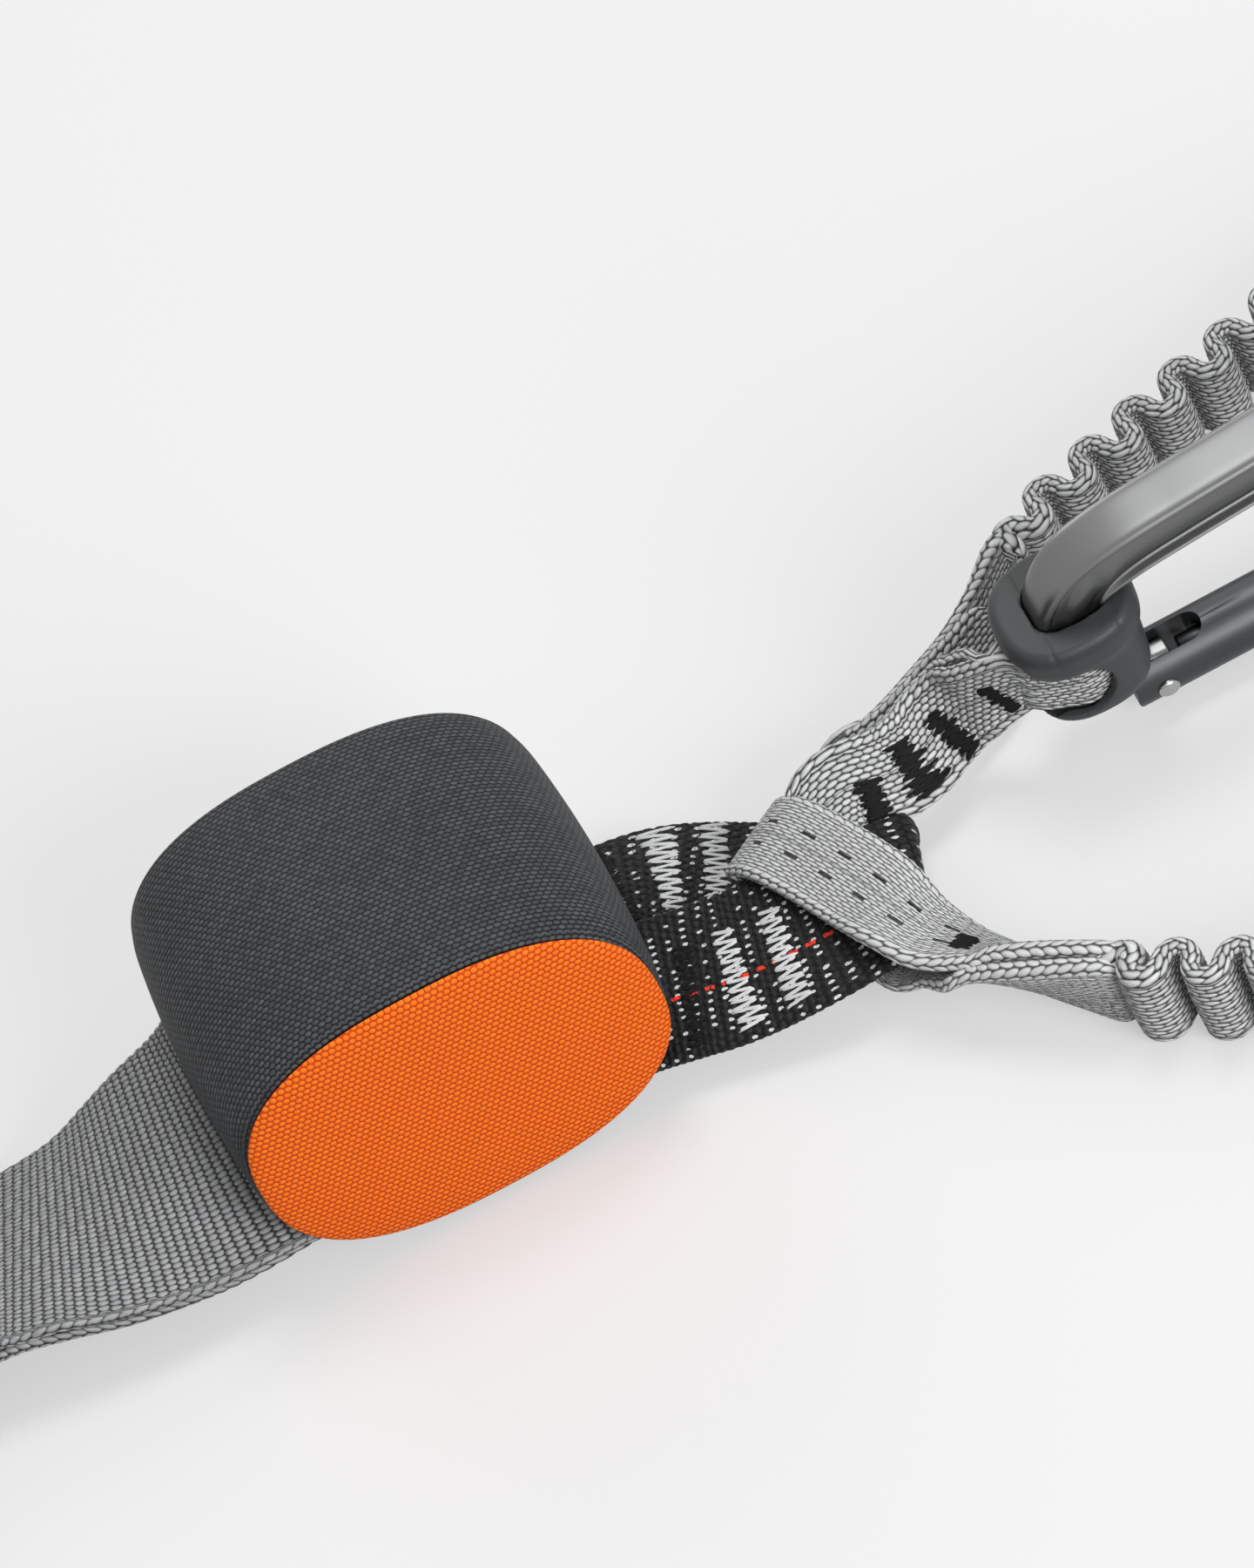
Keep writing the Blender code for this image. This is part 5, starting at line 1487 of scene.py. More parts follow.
@dataclass
class Pouch:
    """Fabric pouch: sleeve, two padded end panels, zip and the folded webbing inside."""

    half_width: float = 0.0352
    half_height: float = 0.0249
    length: float = 0.0548
    centre_x: float = 0.0014
    centre_y: float = 0.0014
    yaw: float = 0.03
    wall: float = 0.0015
    flat_depth: float = 0.0004
    power: float = 2.5
    end_share: float = 0.965
    panel: float = 0.0012
    dome: float = 0.0026
    inset: float = 0.0006
    flare: float = 0.04
    sides: int = 320
    perimeter: float = 0.1915
    ease: float = 0.0012
    puff: float = 0.006
    rim_wear: float = 0.012
    rim_reach: float = 0.0025
    wall_rings: int = 96
    lining_rings: int = 24
    crown_rings: int = 64

    def outline(self, half_x: float, half_z: float, y: float, floor: float) -> ndarray:
        """One closed outline of the pouch.

        Args:
            half_x: half its width.
            half_z: half its height.
            y: its place along the sleeve.
            floor: it is flattened below this height.

        Returns:
            The points.
        """
        wide, high = squircle(self.sides, half_x, half_z, self.power)
        return np.stack([self.centre_x - self.yaw * y + wide,
                         np.full(self.sides, y + self.centre_y),
                         np.maximum(self.half_height - self.flat_depth + high, floor)], axis=1)

    def share(self, y: float) -> float:
        """Share of the full size at y. Args: y. Returns: the share."""
        reach = 2 * y / self.length
        return self.end_share + (1 - self.end_share) * (1 - reach * reach)

    def even(self, ring: ndarray) -> ndarray:
        """Spaces an outline's points evenly. Args: ring. Returns: the same outline."""
        closed = np.vstack([ring, ring[:1]])
        gone = travelled(closed)
        at = np.linspace(0, gone[-1], self.sides, endpoint=False)
        return np.stack([np.interp(at, gone, closed[:, k]) for k in range(3)], axis=1)

    def wall_plan(self) -> list[tuple[float, float, float, float]]:
        """Rings of the sleeve: along its outside, round a rim, back inside, round the other.

        Returns:
            Place, share of the full size, depth below the surface and distance run.
        """
        half, roll = self.length / 2, self.wall / 2
        plan = []
        for y in np.linspace(-half + roll, half - roll, self.wall_rings):
            puff = 1.0 + self.puff * math.sin(math.pi * (y / self.length + 0.5))
            edge = 1.0 - self.rim_wear * math.exp(-((half - abs(y)) / self.rim_reach) ** 2)
            plan.append((y, self.share(y) * puff * edge, 0.0, y))
        for sign in (1, -1):
            for a in np.linspace(0, math.pi, 9)[1:-1]:
                plan.append((sign * (half - roll + roll * math.sin(a)),
                             self.share(half) * (1.0 - self.rim_wear),
                             roll * (1 - sign * math.cos(a)), plan[-1][3] + roll * math.pi / 8))
            if sign > 0:
                for y in np.linspace(half - roll, -half + roll, self.lining_rings):
                    plan.append((y, self.share(y), self.wall,
                                 plan[-1][3] + self.length / self.lining_rings))
        return plan

    def build_wall(self, shop: Workshop) -> None:
        """Builds the charcoal sleeve with its worn, rolled rims. Args: shop."""
        plan = self.wall_plan()
        rings = [self.even(self.outline(self.half_width * share - depth,
                                        self.half_height * share - depth, y, depth))
                 for y, share, depth, _ in plan]
        item = lofted("pouch_sleeve", np.array(rings), shop.finish(CHARCOAL_YARN), ring=True)
        self.map(item.data, np.array([row[3] for row in plan]))
        black = BlackLoop.width, BlackLoop.thickness
        harness = HarnessLoop.width, 2 * HarnessLoop.thickness + GAP
        carved(item, [self.slot_tool(name, table, width + self.ease, thickness + self.ease)
                      for name, table, (width, thickness) in (
                          ("harness_way", HARNESS_PATH[:4], harness),
                          ("near_way", BLACK_PATH[:4], black),
                          ("far_way", BLACK_PATH[12:], black))])
        shop.add(item, Slot.CHARCOAL_FABRIC, "pouch_wall")

    def map(self, mesh: Mesh, along: ndarray) -> None:
        """Writes the weave map of a sleeve of rings.

        Args:
            mesh: the sleeve.
            along: distance across the sleeve of each ring.
        """
        corner = corners(mesh)
        face = np.repeat(np.arange(len(mesh.polygons)), 4)
        point = (corner % self.sides).astype(float)
        point = np.where((face % self.sides == self.sides - 1) & (point == 0), self.sides, point)
        ring = corner // self.sides
        last = face // self.sides == len(along) - 1
        second = np.where(last & (ring == 0), along[-1] + 0.0005, along[ring])
        write_map(mesh, "weave", point / self.sides * self.perimeter, second)

    @staticmethod
    def slot_tool(name: str, table: tuple, width: float, thickness: float) -> Object:
        """Closed cutter along a webbing's path.

        Args:
            name: the tool's name.
            table: the stations that it follows.
            width: the slot's width.
            thickness: the slot's height.

        Returns:
            The tool.
        """
        rows = smooth(stations(table), 6)
        tangent = unit(np.gradient(rows[:, :3], axis=0))
        side = squared(rows[:, 3:6], tangent)
        normal = np.cross(side, tangent)
        rings = np.stack([rows[:, :3] + side * width / 2 * a + normal * thickness / 2 * b
                          for a, b in ((1, 1), (-1, 1), (-1, -1), (1, -1))], axis=1)
        tool = lofted(name, rings)
        shade(tool.data, False)
        return tool

    def panel_rings(self, side: float) -> ndarray:
        """Rings of a padded end panel, from its hidden back to its crown.

        Args:
            side: -1 for the near panel, 1 for the far one.

        Returns:
            The rings.
        """
        edge = self.share(self.length / 2)
        hollow = self.wall + GAP
        back = self.length / 2 - self.inset - self.panel
        lip = self.panel + self.inset + 0.0001
        profile = [(0.0, 0.02), (0.0, 0.5), (0.0, 0.86), (0.0, 0.97), (0.0002, 1.0),
                   (self.panel * 0.6, 1.0), (self.panel, 1.0), (lip, 1.0)]
        flare = self.flare if side < 0 else 0.0
        crown = self.panel + self.dome - lip
        for k in range(self.crown_rings):
            angle = math.pi / 2 * k / self.crown_rings
            profile.append((lip + 0.0002 + crown * math.sin(angle) ** 0.8,
                            1.0 + flare * min(1.0, 0.4 + k * 0.3) if k < 3
                            else (1.0 + flare) * math.cos(angle) ** 0.72))
        profile.append((self.panel + self.dome + 0.0003, 0.004))
        rings = []
        for depth, share in profile:
            y = side * (back + depth)
            half_x = (self.half_width * edge - hollow) * share
            half_z = (self.half_height * edge - hollow) * share
            centre_z = self.half_height - self.flat_depth
            ring = self.outline(half_x, half_z, y, -1.0)
            low = hollow - centre_z
            ring[:, 2] = centre_z + np.maximum(ring[:, 2] - centre_z, low * max(share, 0.01))
            rings.append(ring)
        return np.array(rings)

    def build_panel(self, shop: Workshop, name: str, node: str, side: float,
                    tools: Sequence[Object] = ()) -> None:
        """Builds one padded panel.

        Args:
            shop: the workshop.
            name: the piece's name.
            node: the CAD node that it stands for.
            side: -1 for the near panel, 1 for the far one.
            tools: what is cut out of it.
        """
        item = lofted(name, self.panel_rings(side), shop.finish(ORANGE_YARN))
        front_map(item.data)
        if tools:
            carved(item, tools)
        shop.add(item, Slot.ORANGE_FABRIC, node)

    def build(self, shop: Workshop) -> None:
        """Builds the sleeve, the panels, the zip and the absorber. Args: shop."""
        self.build_wall(shop)
        self.build_panel(shop, "pouch_face", "pouch_front_panel", -1.0)
        Zip(self).build(shop)
        Absorber().build(shop)


@dataclass
class Zip:
    """Zip in the far panel: tape, coil, slider and pull."""

    pouch: Pouch
    length: float = 0.048
    height: float = 0.0056
    depth: float = 0.003
    tooth_pitch: float = 0.0016
    slider: float = 0.0075
    slider_height: float = 0.0076
    plate: float = 0.0011
    pull_length: float = 0.016
    pull_width: float = 0.006
    pull_thickness: float = 0.0012

    def build(self, shop: Workshop) -> None:
        """Builds the far panel with its slot, and the zip. Args: shop."""
        pouch = self.pouch
        centre_z = pouch.half_height - pouch.flat_depth
        face = pouch.centre_y + pouch.length / 2 - pouch.inset + pouch.dome
        front = face + GAP
        half = self.length / 2
        rear = front - self.depth
        slot = block("zip_way", (-half - GAP, rear - self.depth, centre_z - self.height / 2 - GAP),
                     (half + GAP, front + self.depth, centre_z + self.height / 2 + GAP))
        pouch.build_panel(shop, "pouch_back", "pouch_back_panel", 1.0, [slot])
        tape = crisp(block("zip_tape", (-half, rear, centre_z - self.height / 2),
                           (half, front - 0.0009, centre_z + self.height / 2),
                           shop.finish(TAPE_YARN)), 0.0003)
        front_map(tape.data)
        parts = [tape]
        count = int(self.length / self.tooth_pitch)
        for k in range(count):
            x = -half + (k + 0.5) * self.tooth_pitch
            side = 1.0 if k % 2 else -1.0
            z = centre_z + side * 0.0006
            parts.append(crisp(block(f"tooth_{k}", (x - 0.0006, front - 0.0011, z - 0.0014),
                                     (x + 0.0006, front, z + 0.0014),
                                     shop.finish(COIL_PLASTIC)), 0.0004))
        chain = joined("zip_coil", parts)
        shop.add(chain, Slot.ZIP_COIL, "zip_chain")
        self.build_slider(shop, half, front + GAP, centre_z)

    def build_slider(self, shop: Workshop, half: float, low: float, centre_z: float) -> None:
        """Builds the slider and its pull.

        Args:
            shop: the workshop.
            half: half the zip's length.
            low: where the slider's underside is.
            centre_z: the height of the zip's middle.
        """
        start = half - self.slider / 2 - GAP
        hinge_y = low + self.plate + self.pull_thickness * 1.1
        hinge_z = centre_z + self.slider_height / 2 - self.pull_thickness * 1.6
        body = block("zip_slider_body",
                     (start - self.slider / 2, low, centre_z - self.slider_height / 2),
                     (start + self.slider / 2, low + self.plate + self.pull_thickness * 2,
                      centre_z + self.slider_height / 2), shop.finish(STEEL))
        pocket = block("slider_pocket",
                       (start - self.pull_width / 2 + self.plate - GAP, low + self.plate,
                        centre_z - self.slider_height),
                       (start + self.pull_width / 2 - self.plate + GAP,
                        low + self.pull_length, centre_z + self.slider_height))
        carved(body, [pocket])
        crisp(body, 0.0005)
        shop.add(body, Slot.BRIGHT_STEEL, "zip_slider", body="zip_slider")
        tongue = self.pull_width / 2 - self.plate
        tab = block("zip_pull_tab", (start - tongue, hinge_y - self.pull_thickness / 2,
                                     hinge_z - self.pull_length),
                    (start + tongue, hinge_y + self.pull_thickness / 2, hinge_z),
                    shop.finish(STEEL))
        hole = block("pull_hole", (start - tongue * 0.45, hinge_y - 0.01,
                                   hinge_z - self.pull_length * 0.88),
                     (start + tongue * 0.45, hinge_y + 0.01,
                      hinge_z - self.pull_length * 0.62))
        carved(tab, [hole])
        crisp(tab, 0.00035)
        turn = Matrix.Translation((start, hinge_y, hinge_z)) @ quarter("Y")
        pin = turned("pull_pin", turn, ((0.0007, -self.slider / 2 + GAP),
                                        (0.0007, self.slider / 2 - GAP)),
                     24, shop.finish(STEEL))
        shop.add(joined("zip_pull_tab", [tab, pin]), Slot.BRIGHT_STEEL, "zip_pull",
                 body="zip_pull")


@dataclass
class Absorber:
    """Tear webbing folded in the pouch."""

    layers: int = 9
    length: float = 0.036
    width: float = 0.038
    thickness: float = 0.0024
    centre_x: float = 0.0055
    floor: float = 0.0128

    def build(self, shop: Workshop) -> None:
        """Builds the folded webbing. Args: shop."""
        pitch = self.thickness + GAP
        radius = pitch / 2
        half = self.length / 2 - self.thickness
        line = []
        for layer in range(self.layers):
            z = self.floor + layer * pitch
            side = 1.0 if layer % 2 == 0 else -1.0
            for t in np.linspace(-1.0, 1.0, 25):
                line.append((self.centre_x + side * half * t, 0.0, z))
            if layer < self.layers - 1:
                for a in np.linspace(-math.pi / 2, math.pi / 2, 11)[1:-1]:
                    line.append((self.centre_x + side * (half + radius * math.cos(a)), 0.0,
                                 z + radius + radius * math.sin(a)))
        centres = resample(np.array(line), 0.0006)
        across = np.tile(np.array([0.0, 1.0, 0.0]), (len(centres), 1))
        band = Webbing("absorber_webbing", centres, across, self.width, self.thickness * 0.95,
                       shop.finish(TEAR_YARN), 0.0012, 6)
        shop.weave(band, Slot.TEAR_WEBBING, "absorber_pack")


def block(name: str, low: Sequence[float], high: Sequence[float],
          material: Material | None = None) -> Object:
    """A box. Args: name, low and high: its corners, material. Returns: the object."""
    verts = np.array([(x, y, z) for x in (low[0], high[0]) for y in (low[1], high[1])
                      for z in (low[2], high[2])])
    faces = [(0, 1, 3, 2), (4, 6, 7, 5), (0, 4, 5, 1), (2, 3, 7, 6), (0, 2, 6, 4), (1, 5, 7, 3)]
    return make_object(name, verts, faces, material, soft=False)


def turned(name: str, matrix: Matrix, profile: Sequence[tuple[float, float]], sides: int,
           material: Material | None = None) -> Object:
    """A turned piece about the z axis of a matrix.

    Args:
        name: its name.
        matrix: its place.
        profile: radius and height of each ring.
        sides: points round it.
        material: its finish.

    Returns:
        The object.
    """
    angle = np.linspace(0, 2 * math.pi, sides, endpoint=False)
    rings = np.array([[(r * math.cos(a), r * math.sin(a), z) for a in angle]
                      for r, z in profile])
    item = lofted(name, rings, material)
    item.data.transform(matrix)
    return item


def place(matrix: Matrix, points: ndarray) -> ndarray:
    """Moves points by a matrix. Args: matrix, points. Returns: the moved points."""
    turn = np.array(matrix, float)
    return np.asarray(points, float) @ turn[:3, :3].T + turn[:3, 3]


@dataclass
class Carabiner:
    """Frame, gate, rivet, plunger, keeper and the webbing eye round the bar."""

    tag: str
    matrix: Matrix
    bar_width: float = 0.0108
    bar_thickness: float = 0.0098
    tongue: float = 0.0046
    groove: float = 0.002
    gate_radius: float = 0.00535
    gate_length: float = 0.0622
    cheek: float = 0.0052
    slot_length: float = 0.009
    notch: float = 0.0055
    rivet: float = 0.0015
    head: float = 0.0018
    head_height: float = 0.0011
    plunger: float = 0.0021
    plunger_length: float = 0.007
    tongue_reach: float = 0.004
    keeper_wall: float = 0.0018
    keeper_base: float = 0.0068
    keeper_top: float = 0.0286
    eye_width: float = 0.0148
    eye_centre: float = 0.0163
    keeper_rear: float = 0.0098
    keeper_front: float = 0.0108
    bar_centre: float = -0.01035
    mouth: float = 0.8
    neck: float = 0.84
    throat: float = 1.05
    window_reach: float = 0.0028
    sewn: float = 0.0022
    cap_shares: tuple[float, ...] = (0.45, 0.8, 0.95)
    cap_height: float = 0.0006

    def frame_rows(self) -> ndarray:
        """Returns: dense rows of x, y, width, thickness, groove and heading."""
        rows = np.array(FRAME_PATH, float)
        rows[:, :2] *= REACH
        dense = smooth(rows, 14)
        heading = unit(np.gradient(dense[:, :2], axis=0))
        return np.hstack([dense, heading])

    def section(self, row: ndarray, extra: float, grooved: float, sides: int) -> ndarray:
        """One section of the bar.

        Args:
            row: a station.
            extra: added to its width and thickness.
            grooved: share of the groove's depth.
            sides: points round it.

        Returns:
            The points.
        """
        width, thickness = row[2] * self.bar_width + extra, row[3] * self.bar_thickness + extra
        power = 3.1 + 3.6 * min(1.0, row[4] * 1.6) * grooved
        u, v = squircle(sides, width / 2, thickness / 2, power)
        share = u / (width / 2)
        well = np.clip((0.8 - np.abs(share)) / 0.1, 0, 1)
        rib = np.clip((0.36 - np.abs(share)) / 0.14, 0, 1)
        ripple = well * well * (3 - 2 * well) - 0.72 * rib * rib * (3 - 2 * rib)
        v = v - np.sign(v) * self.groove * row[4] * grooved * ripple
        side = np.array([-row[6], row[5]])
        return np.column_stack([row[0] + side[0] * u, row[1] + side[1] * u, v])

    def build_frame(self, shop: Workshop) -> None:
        """Builds the forged bar. Args: shop."""
        rows = self.frame_rows()
        rings = np.array([self.section(row, 0.0, 1.0, 112) for row in rows])
        caps = []
        for end, near in ((0, 1), (-1, -2)):
            middle = rings[end].mean(axis=0)
            push = unit(middle - rings[near].mean(axis=0))
            for share in self.cap_shares if end == 0 else self.cap_shares[::-1]:
                caps.append(middle + (rings[end] - middle) * share
                            + push * self.cap_height * (1 - share))
        rings = np.concatenate([np.array(caps[:3]), rings, np.array(caps[3:])])
        shape = rings.shape
        rings = place(self.matrix, rings.reshape(-1, 3)).reshape(shape)
        item = lofted(f"{self.tag}_bar", rings, shop.finish(BAR_SILVER))
        shop.add(item, Slot.FORGED_ALUMINIUM, f"{self.tag}_frame")

    def build_gate(self, shop: Workshop) -> None:
        """Builds the gate with its rounded slot, its nose notch and its cheeks. Args: shop."""
        along = quarter("Y")
        radius = self.gate_radius
        end = self.gate_length
        profile = [(radius * 0.4, -self.cheek), (radius * 0.999, -self.cheek),
                   (radius, -self.cheek + 0.0001)]
        profile += [(radius, z) for z in np.linspace(0.0, end - 0.0006, 8)]
        profile += [(radius * 0.97, end - 0.0002), (radius * 0.9, end),
                    (radius * 0.4, end)]
        gate = turned(f"{self.tag}_gate_body", along, profile, 72, shop.finish(GATE_GREY))
        half = self.tongue / 2 + GAP
        tools = []
        slot = block("slot", (-2 * self.cheek, -2 * radius, -half),
                     (self.slot_length - half, 2 * radius, half))
        across = Matrix.Translation((self.slot_length - half, 0, 0)) @ quarter("X")
        tip = turned("slot_tip", across, ((half, -2 * radius - 0.001), (half, 2 * radius + 0.001)),
                     40)
        tools += [slot, tip]
        tools.append(block("nose", (end - self.notch, -2 * radius, -half),
                           (end + radius, radius * 0.5, half)))
        ring = turned("cheek_round", Matrix.Identity(4), ((self.cheek, -radius * 1.5),
                                                          (self.cheek, radius * 1.5)), 64)
        keep = block("cheek_block", (-2.2 * self.cheek, -2.2 * self.cheek, -radius * 1.4),
                     (0.0, 2.2 * self.cheek, radius * 1.4))
        carved(keep, [ring])
        tools.append(keep)
        bore = turned("bore", along, ((self.plunger + GAP, self.tongue_reach),
                                      (self.plunger + GAP, self.tongue_reach + 0.0091)), 32)
        tools.append(bore)
        carved(gate, tools)
        crisp(gate, 0.00035, 36.0)
        gate.data.transform(self.matrix)
        shop.add(gate, Slot.ANODISED_ALUMINIUM, f"{self.tag}_gate", body=f"{self.tag}_gate")

    def build_pins(self, shop: Workshop) -> None:
        """Builds the domed rivet and the plunger, which is coloured with painted shade. Args:
        shop.
        """
        seat = self.gate_radius * 0.96
        dome = [(self.head * math.cos(a), seat + self.head_height * (0.25 + 0.75 * math.sin(a)))
                for a in np.linspace(0.0, 1.53, 14)]
        up = [(self.rivet, seat), (self.head, seat)] + dome
        profile = [(r, -z) for r, z in reversed(up)] + up
        rivet = turned(f"{self.tag}_rivet_pin", self.matrix, profile, 40, shop.finish(STEEL))
        shop.add(rivet, Slot.BRIGHT_STEEL, f"{self.tag}_rivet")
        along = self.matrix @ quarter("Y")
        start = self.tongue_reach + GAP
        stop = start + self.plunger_length
        # The plunger is coloured with painted shade for the dark inside the gate's slot.
        pin = turned(f"{self.tag}_plunger_pin", along,
                     ((self.plunger * 0.5, start), (self.plunger * 0.9, start + 0.0001),
                      (self.plunger, start + 0.0004), (self.plunger, stop - 0.0003),
                      (self.plunger * 0.9, stop)), 32, shop.finish(SHADED_PIN_STEEL))
        shop.add(pin, Slot.BRIGHT_STEEL, f"{self.tag}_plunger", body=f"{self.tag}_plunger")

    def oval(self, half_x: float, half_z: float, centre: float, level: float, power: float,
             sides: int = 96) -> ndarray:
        """An outline of the keeper. Args: half sizes, centre, level, power, sides. Returns: it."""
        along, across = squircle(sides, half_x, half_z, power)
        return np.column_stack([centre + along, np.full(sides, level), across])

    def build_keeper(self, shop: Workshop) -> None:
        """Builds the moulded rubber sleeve with its flange and windows. Args: shop."""
        middle = self.bar_centre + (self.keeper_front - self.keeper_rear) / 2
        half_x = (self.keeper_front + self.keeper_rear) / 2
        hollow_x = self.bar_width / 2 + GAP * 2.5 + self.sewn + GAP
        hollow_z = self.bar_thickness / 2 + GAP + self.sewn + GAP
        half_z = hollow_z + self.keeper_wall
        top, base = self.keeper_top, self.keeper_base
        levels = ((base, 0.72), (base + 0.0003, 0.82), (base + 0.0012, 0.93),
                  (base + 0.003, 0.97), (self.eye_centre, 0.985), (top - 0.0078, 0.99),
                  (top - 0.007, 1.01), (top - 0.0062, 1.055), (top - 0.0052, 1.075),
                  (top - 0.0022, 1.075), (top - 0.001, 1.05), (top - 0.0002, 0.99),
                  (top, 0.92))
        rings = np.array([self.oval(half_x * share, half_z * share, middle, level, 2.5)
                          for level, share in levels])
        keeper = lofted(f"{self.tag}_keeper_sleeve", rings, shop.finish(RUBBER))
        low = self.eye_centre - self.eye_width / 2 - GAP
        high = self.eye_centre + self.eye_width / 2 + GAP
        room = lofted("eye_room", np.array([self.oval(hollow_x, hollow_z, self.bar_centre, y, 2.0)
                                            for y in (low, high)]))
        mouth = block("mouth", (self.bar_centre - 2 * self.keeper_rear, low - GAP,
                                -hollow_z * self.mouth),
                      (self.bar_centre, high + GAP, hollow_z * self.mouth))
        sill, lintel = low + 0.001, high - 0.0022
        bend, end = (lintel - sill) / 2, self.bar_centre + self.window_reach
        window = block("window", (self.bar_centre - 2 * self.keeper_rear, sill, -2 * half_z),
                       (end - bend, lintel, 2 * half_z))
        window_end = turned("window_end", Matrix.Translation((end - bend, sill + bend, 0)),
                            ((bend, -2 * half_z), (bend, 2 * half_z)), 48)
        rows = self.frame_rows()[14 * 3:14 * 11:4]
        bar = lofted("bar_room", np.array([self.section(row, 2.4 * GAP, 0.0, 40)
                                           for row in rows]))
        carved(keeper, [bar, room, mouth, window, window_end])
        moulded(keeper, 0.00034, 8)
        self.seam(keeper, middle, top)
        keeper.data.transform(self.matrix)
        shop.add(keeper, Slot.KEEPER_RUBBER, f"{self.tag}_keeper")

    @staticmethod
    def seam(item: Object, middle: float, top: float) -> None:
        """Sinks mould lines in the flange. Args: item, middle: of the flange, top: its height."""
        places = points_of(item.data)
        for offset in (-0.0052, 0.006):
            away = np.abs(places[:, 0] - middle - offset)
            near = (away < 0.0003) & (places[:, 1] > top - 0.0072)
            inward = np.zeros_like(places[near])
            inward[:, 1] = -1.0
            inward[:, 2] = -np.sign(places[near][:, 2] - places[near].mean(axis=0)[2]) * 0.6
            places[near] += inward * 0.00012
        item.data.vertices.foreach_set("co", places.ravel())
        item.data.update()

    def eye_rows(self) -> ndarray:
        """Stations of the sewn webbing round the bar, in the part's frame.

        Returns:
            Rows of centre and direction across.
        """
        thick = self.sewn
        reach_x = self.bar_width / 2 + GAP * 2.5 + thick / 2
        reach_z = self.bar_thickness / 2 + GAP + thick / 2
        throat = self.bar_centre - self.keeper_rear * self.throat
        neck = self.bar_centre - self.keeper_rear * self.neck
        flat = [(throat, (thick + GAP) / 2), (neck, reach_z * 0.52)]
        for degrees in (125, 95, 60, 30, 0, -30, -60, -95, -125):
            angle = math.radians(degrees)
            flat.append((self.bar_centre + reach_x * math.cos(angle),
                         reach_z * math.sin(angle)))
        flat += [(neck, -reach_z * 0.52), (throat, -(thick + GAP) / 2)]
        centres = place(self.matrix, np.array([(x, self.eye_centre, z) for x, z in flat]))
        across = np.tile(np.array(self.matrix.to_3x3() @ Vector((0, 1, 0))), (len(flat), 1))
        return np.hstack([centres, across])

    def build_eye(self, shop: Workshop, name: str, node: str, stack: ndarray,
                  tacks: Sequence[Tack] = ()) -> None:
        """Builds the sewn eye with its two layers along the stack.

        Args:
            shop: the workshop.
            name: the piece's name.
            node: the CAD node that it stands for.
            stack: stations of the two layers away from the keeper.
            tacks: what is sewn on it.
        """
        eye = self.eye_rows()
        middle = (eye[0, :3] + eye[-1, :3]) / 2
        line = np.vstack([np.hstack([middle, eye[0, 3:6]])[None, :], stack[:, :6]])
        one, two = two_layers(line, self.sewn + GAP, eye[0, :3] - middle)
        rows = resample(smooth(np.vstack([one[1:][::-1], eye, two[1:]]), 10), 0.00042)
        band = Webbing(name, rows[:, :3], rows[:, 3:6], self.eye_width, self.sewn,
                       shop.finish(ARM_YARN), 0.00045, 10, 0.1, 0.005,
                       ribbed(0.0019, 0.0007, 0.00018, 0.0022))
        shop.weave(band, Slot.ARM_WEBBING, node)
        shop.sew(f"{self.tag}_strap_tack", band, tacks, DARK_THREAD, Slot.ARM_WEBBING)

    def build(self, shop: Workshop) -> None:
        """Builds every piece of the carabiner. Args: shop."""
        self.build_frame(shop)
        self.build_gate(shop)
        self.build_pins(shop)
        self.build_keeper(shop)


def quarter(axis: str) -> Matrix:
    """A quarter turn. Args: axis. Returns: its matrix."""
    return Matrix.Rotation(math.radians(90), 4, axis)


def carabiner_place(origin: Sequence[float], x_axis: Sequence[float],
                    y_axis: Sequence[float]) -> Matrix:
    """Matrix of a carabiner from its origin and two axes.

    Args:
        origin: the gate's hinge.
        x_axis: along the gate.
        y_axis: from the gate towards the spine.

    Returns:
        The matrix.
    """
    x_axis, y_axis = Vector(x_axis).normalized(), Vector(y_axis).normalized()
    matrix = Matrix((x_axis, y_axis, x_axis.cross(y_axis))).transposed().to_4x4()
    matrix.translation = Vector(origin)
    return matrix


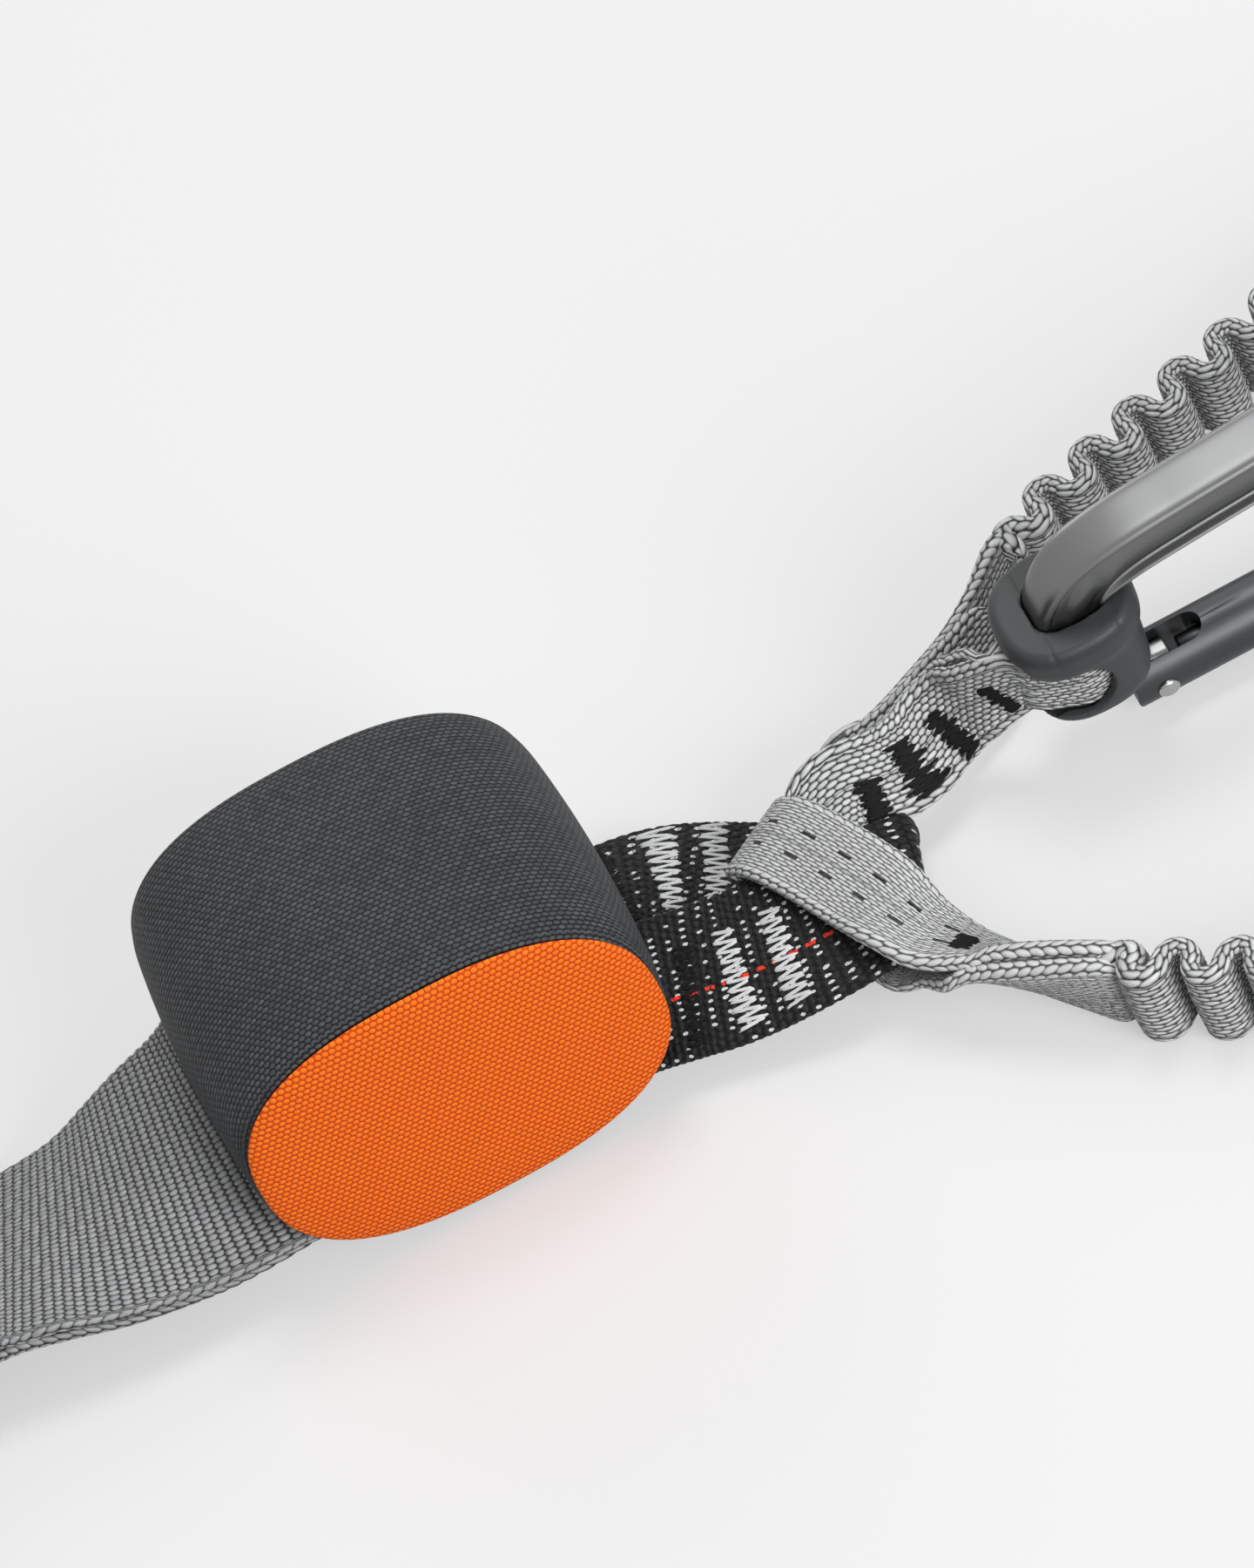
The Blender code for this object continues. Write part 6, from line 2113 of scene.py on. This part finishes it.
def end_stack(carabiner: Carabiner, side: float, arm: ElasticArm) -> ndarray:
    """Stations of the layers between an end carabiner and its arm.

    Args:
        carabiner: the end carabiner.
        side: 1 for the upper arm, -1 for the lower one.
        arm: the arm that it joins.

    Returns:
        Rows of centre and direction across.
    """
    start = np.array(carabiner.matrix @ Vector(
        (carabiner.bar_centre - carabiner.keeper_rear * carabiner.throat,
         carabiner.eye_centre, 0)))
    reach, aside = (share * REACH for share in arm.plan[-1])
    end = np.array([reach, side * (abs(aside) - 2 * arm.turn_radius), arm.width / 2 + GAP])
    rows = []
    for share, lift in END_TURN:
        centre = start * (1 - share) + end * share
        turn = math.radians(90) * lift
        rows.append((*centre, 0.0, side * math.cos(turn), math.sin(turn)))
    return np.array(rows)


def main() -> None:
    """Builds the scene: camera first, then each sub-assembly in order."""
    logging.basicConfig(level=logging.INFO, format="%(name)s %(message)s")
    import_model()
    studio = Studio()
    studio.camera()
    studio.light()
    studio.floor()
    shop = Workshop()

    upper_arm = ElasticArm("upper", UPPER_ARM, -1.0, (1.143, 0.302))
    lower_arm = ElasticArm("lower", LOWER_ARM, 1.0, (0.954, -0.539))
    for arm in (upper_arm, lower_arm):
        arm.build(shop)

    HarnessLoop().build(shop)
    BlackLoop().build(shop)
    ArmEye("lower", LOWER_STACK, LOWER_EYE, len(LOWER_STACK), STRAP_YARN, tacks=(
        Tack(0.0285, 0.0009, 0.0054, 0.0036, 5, Side.BACK, radius=0.00027, strands=3,
             ragged=0.13),
    )).build(shop)
    ArmEye("upper", UPPER_STACK, UPPER_EYE, len(UPPER_STACK) - 2, ARM_YARN).build(shop)
    Pouch().build(shop)

    lean, tilt = math.radians(12.0), math.radians(3.0)
    down = (-math.cos(tilt), 0, -math.sin(tilt))
    short = Carabiner("short", carabiner_place((0.1258, 0.0024, 0.006), (1, 0, 0),
                                               (0, -math.sin(lean), math.cos(lean))))
    upper = Carabiner("upper", carabiner_place((0.326, 0.06, 0.0098), down, (0, -1, 0)))
    lower = Carabiner("lower", carabiner_place((0.326, -0.06, 0.0098), down, (0, 1, 0)))
    for item in (short, upper, lower):
        item.build(shop)
    short.build_eye(shop, "short_arm_webbing", "short_arm_strap", stations(SHORT_STACK),
                    DARK_TACKS)
    for item, side, arm in ((upper, 1.0, upper_arm), (lower, -1.0, lower_arm)):
        item.build_eye(shop, f"{item.tag}_end_webbing", f"{item.tag}_end_eye",
                       end_stack(item, side, arm))
    LOG.info("%d pieces", len(shop.pieces))


if __name__ == "__main__":
    main()
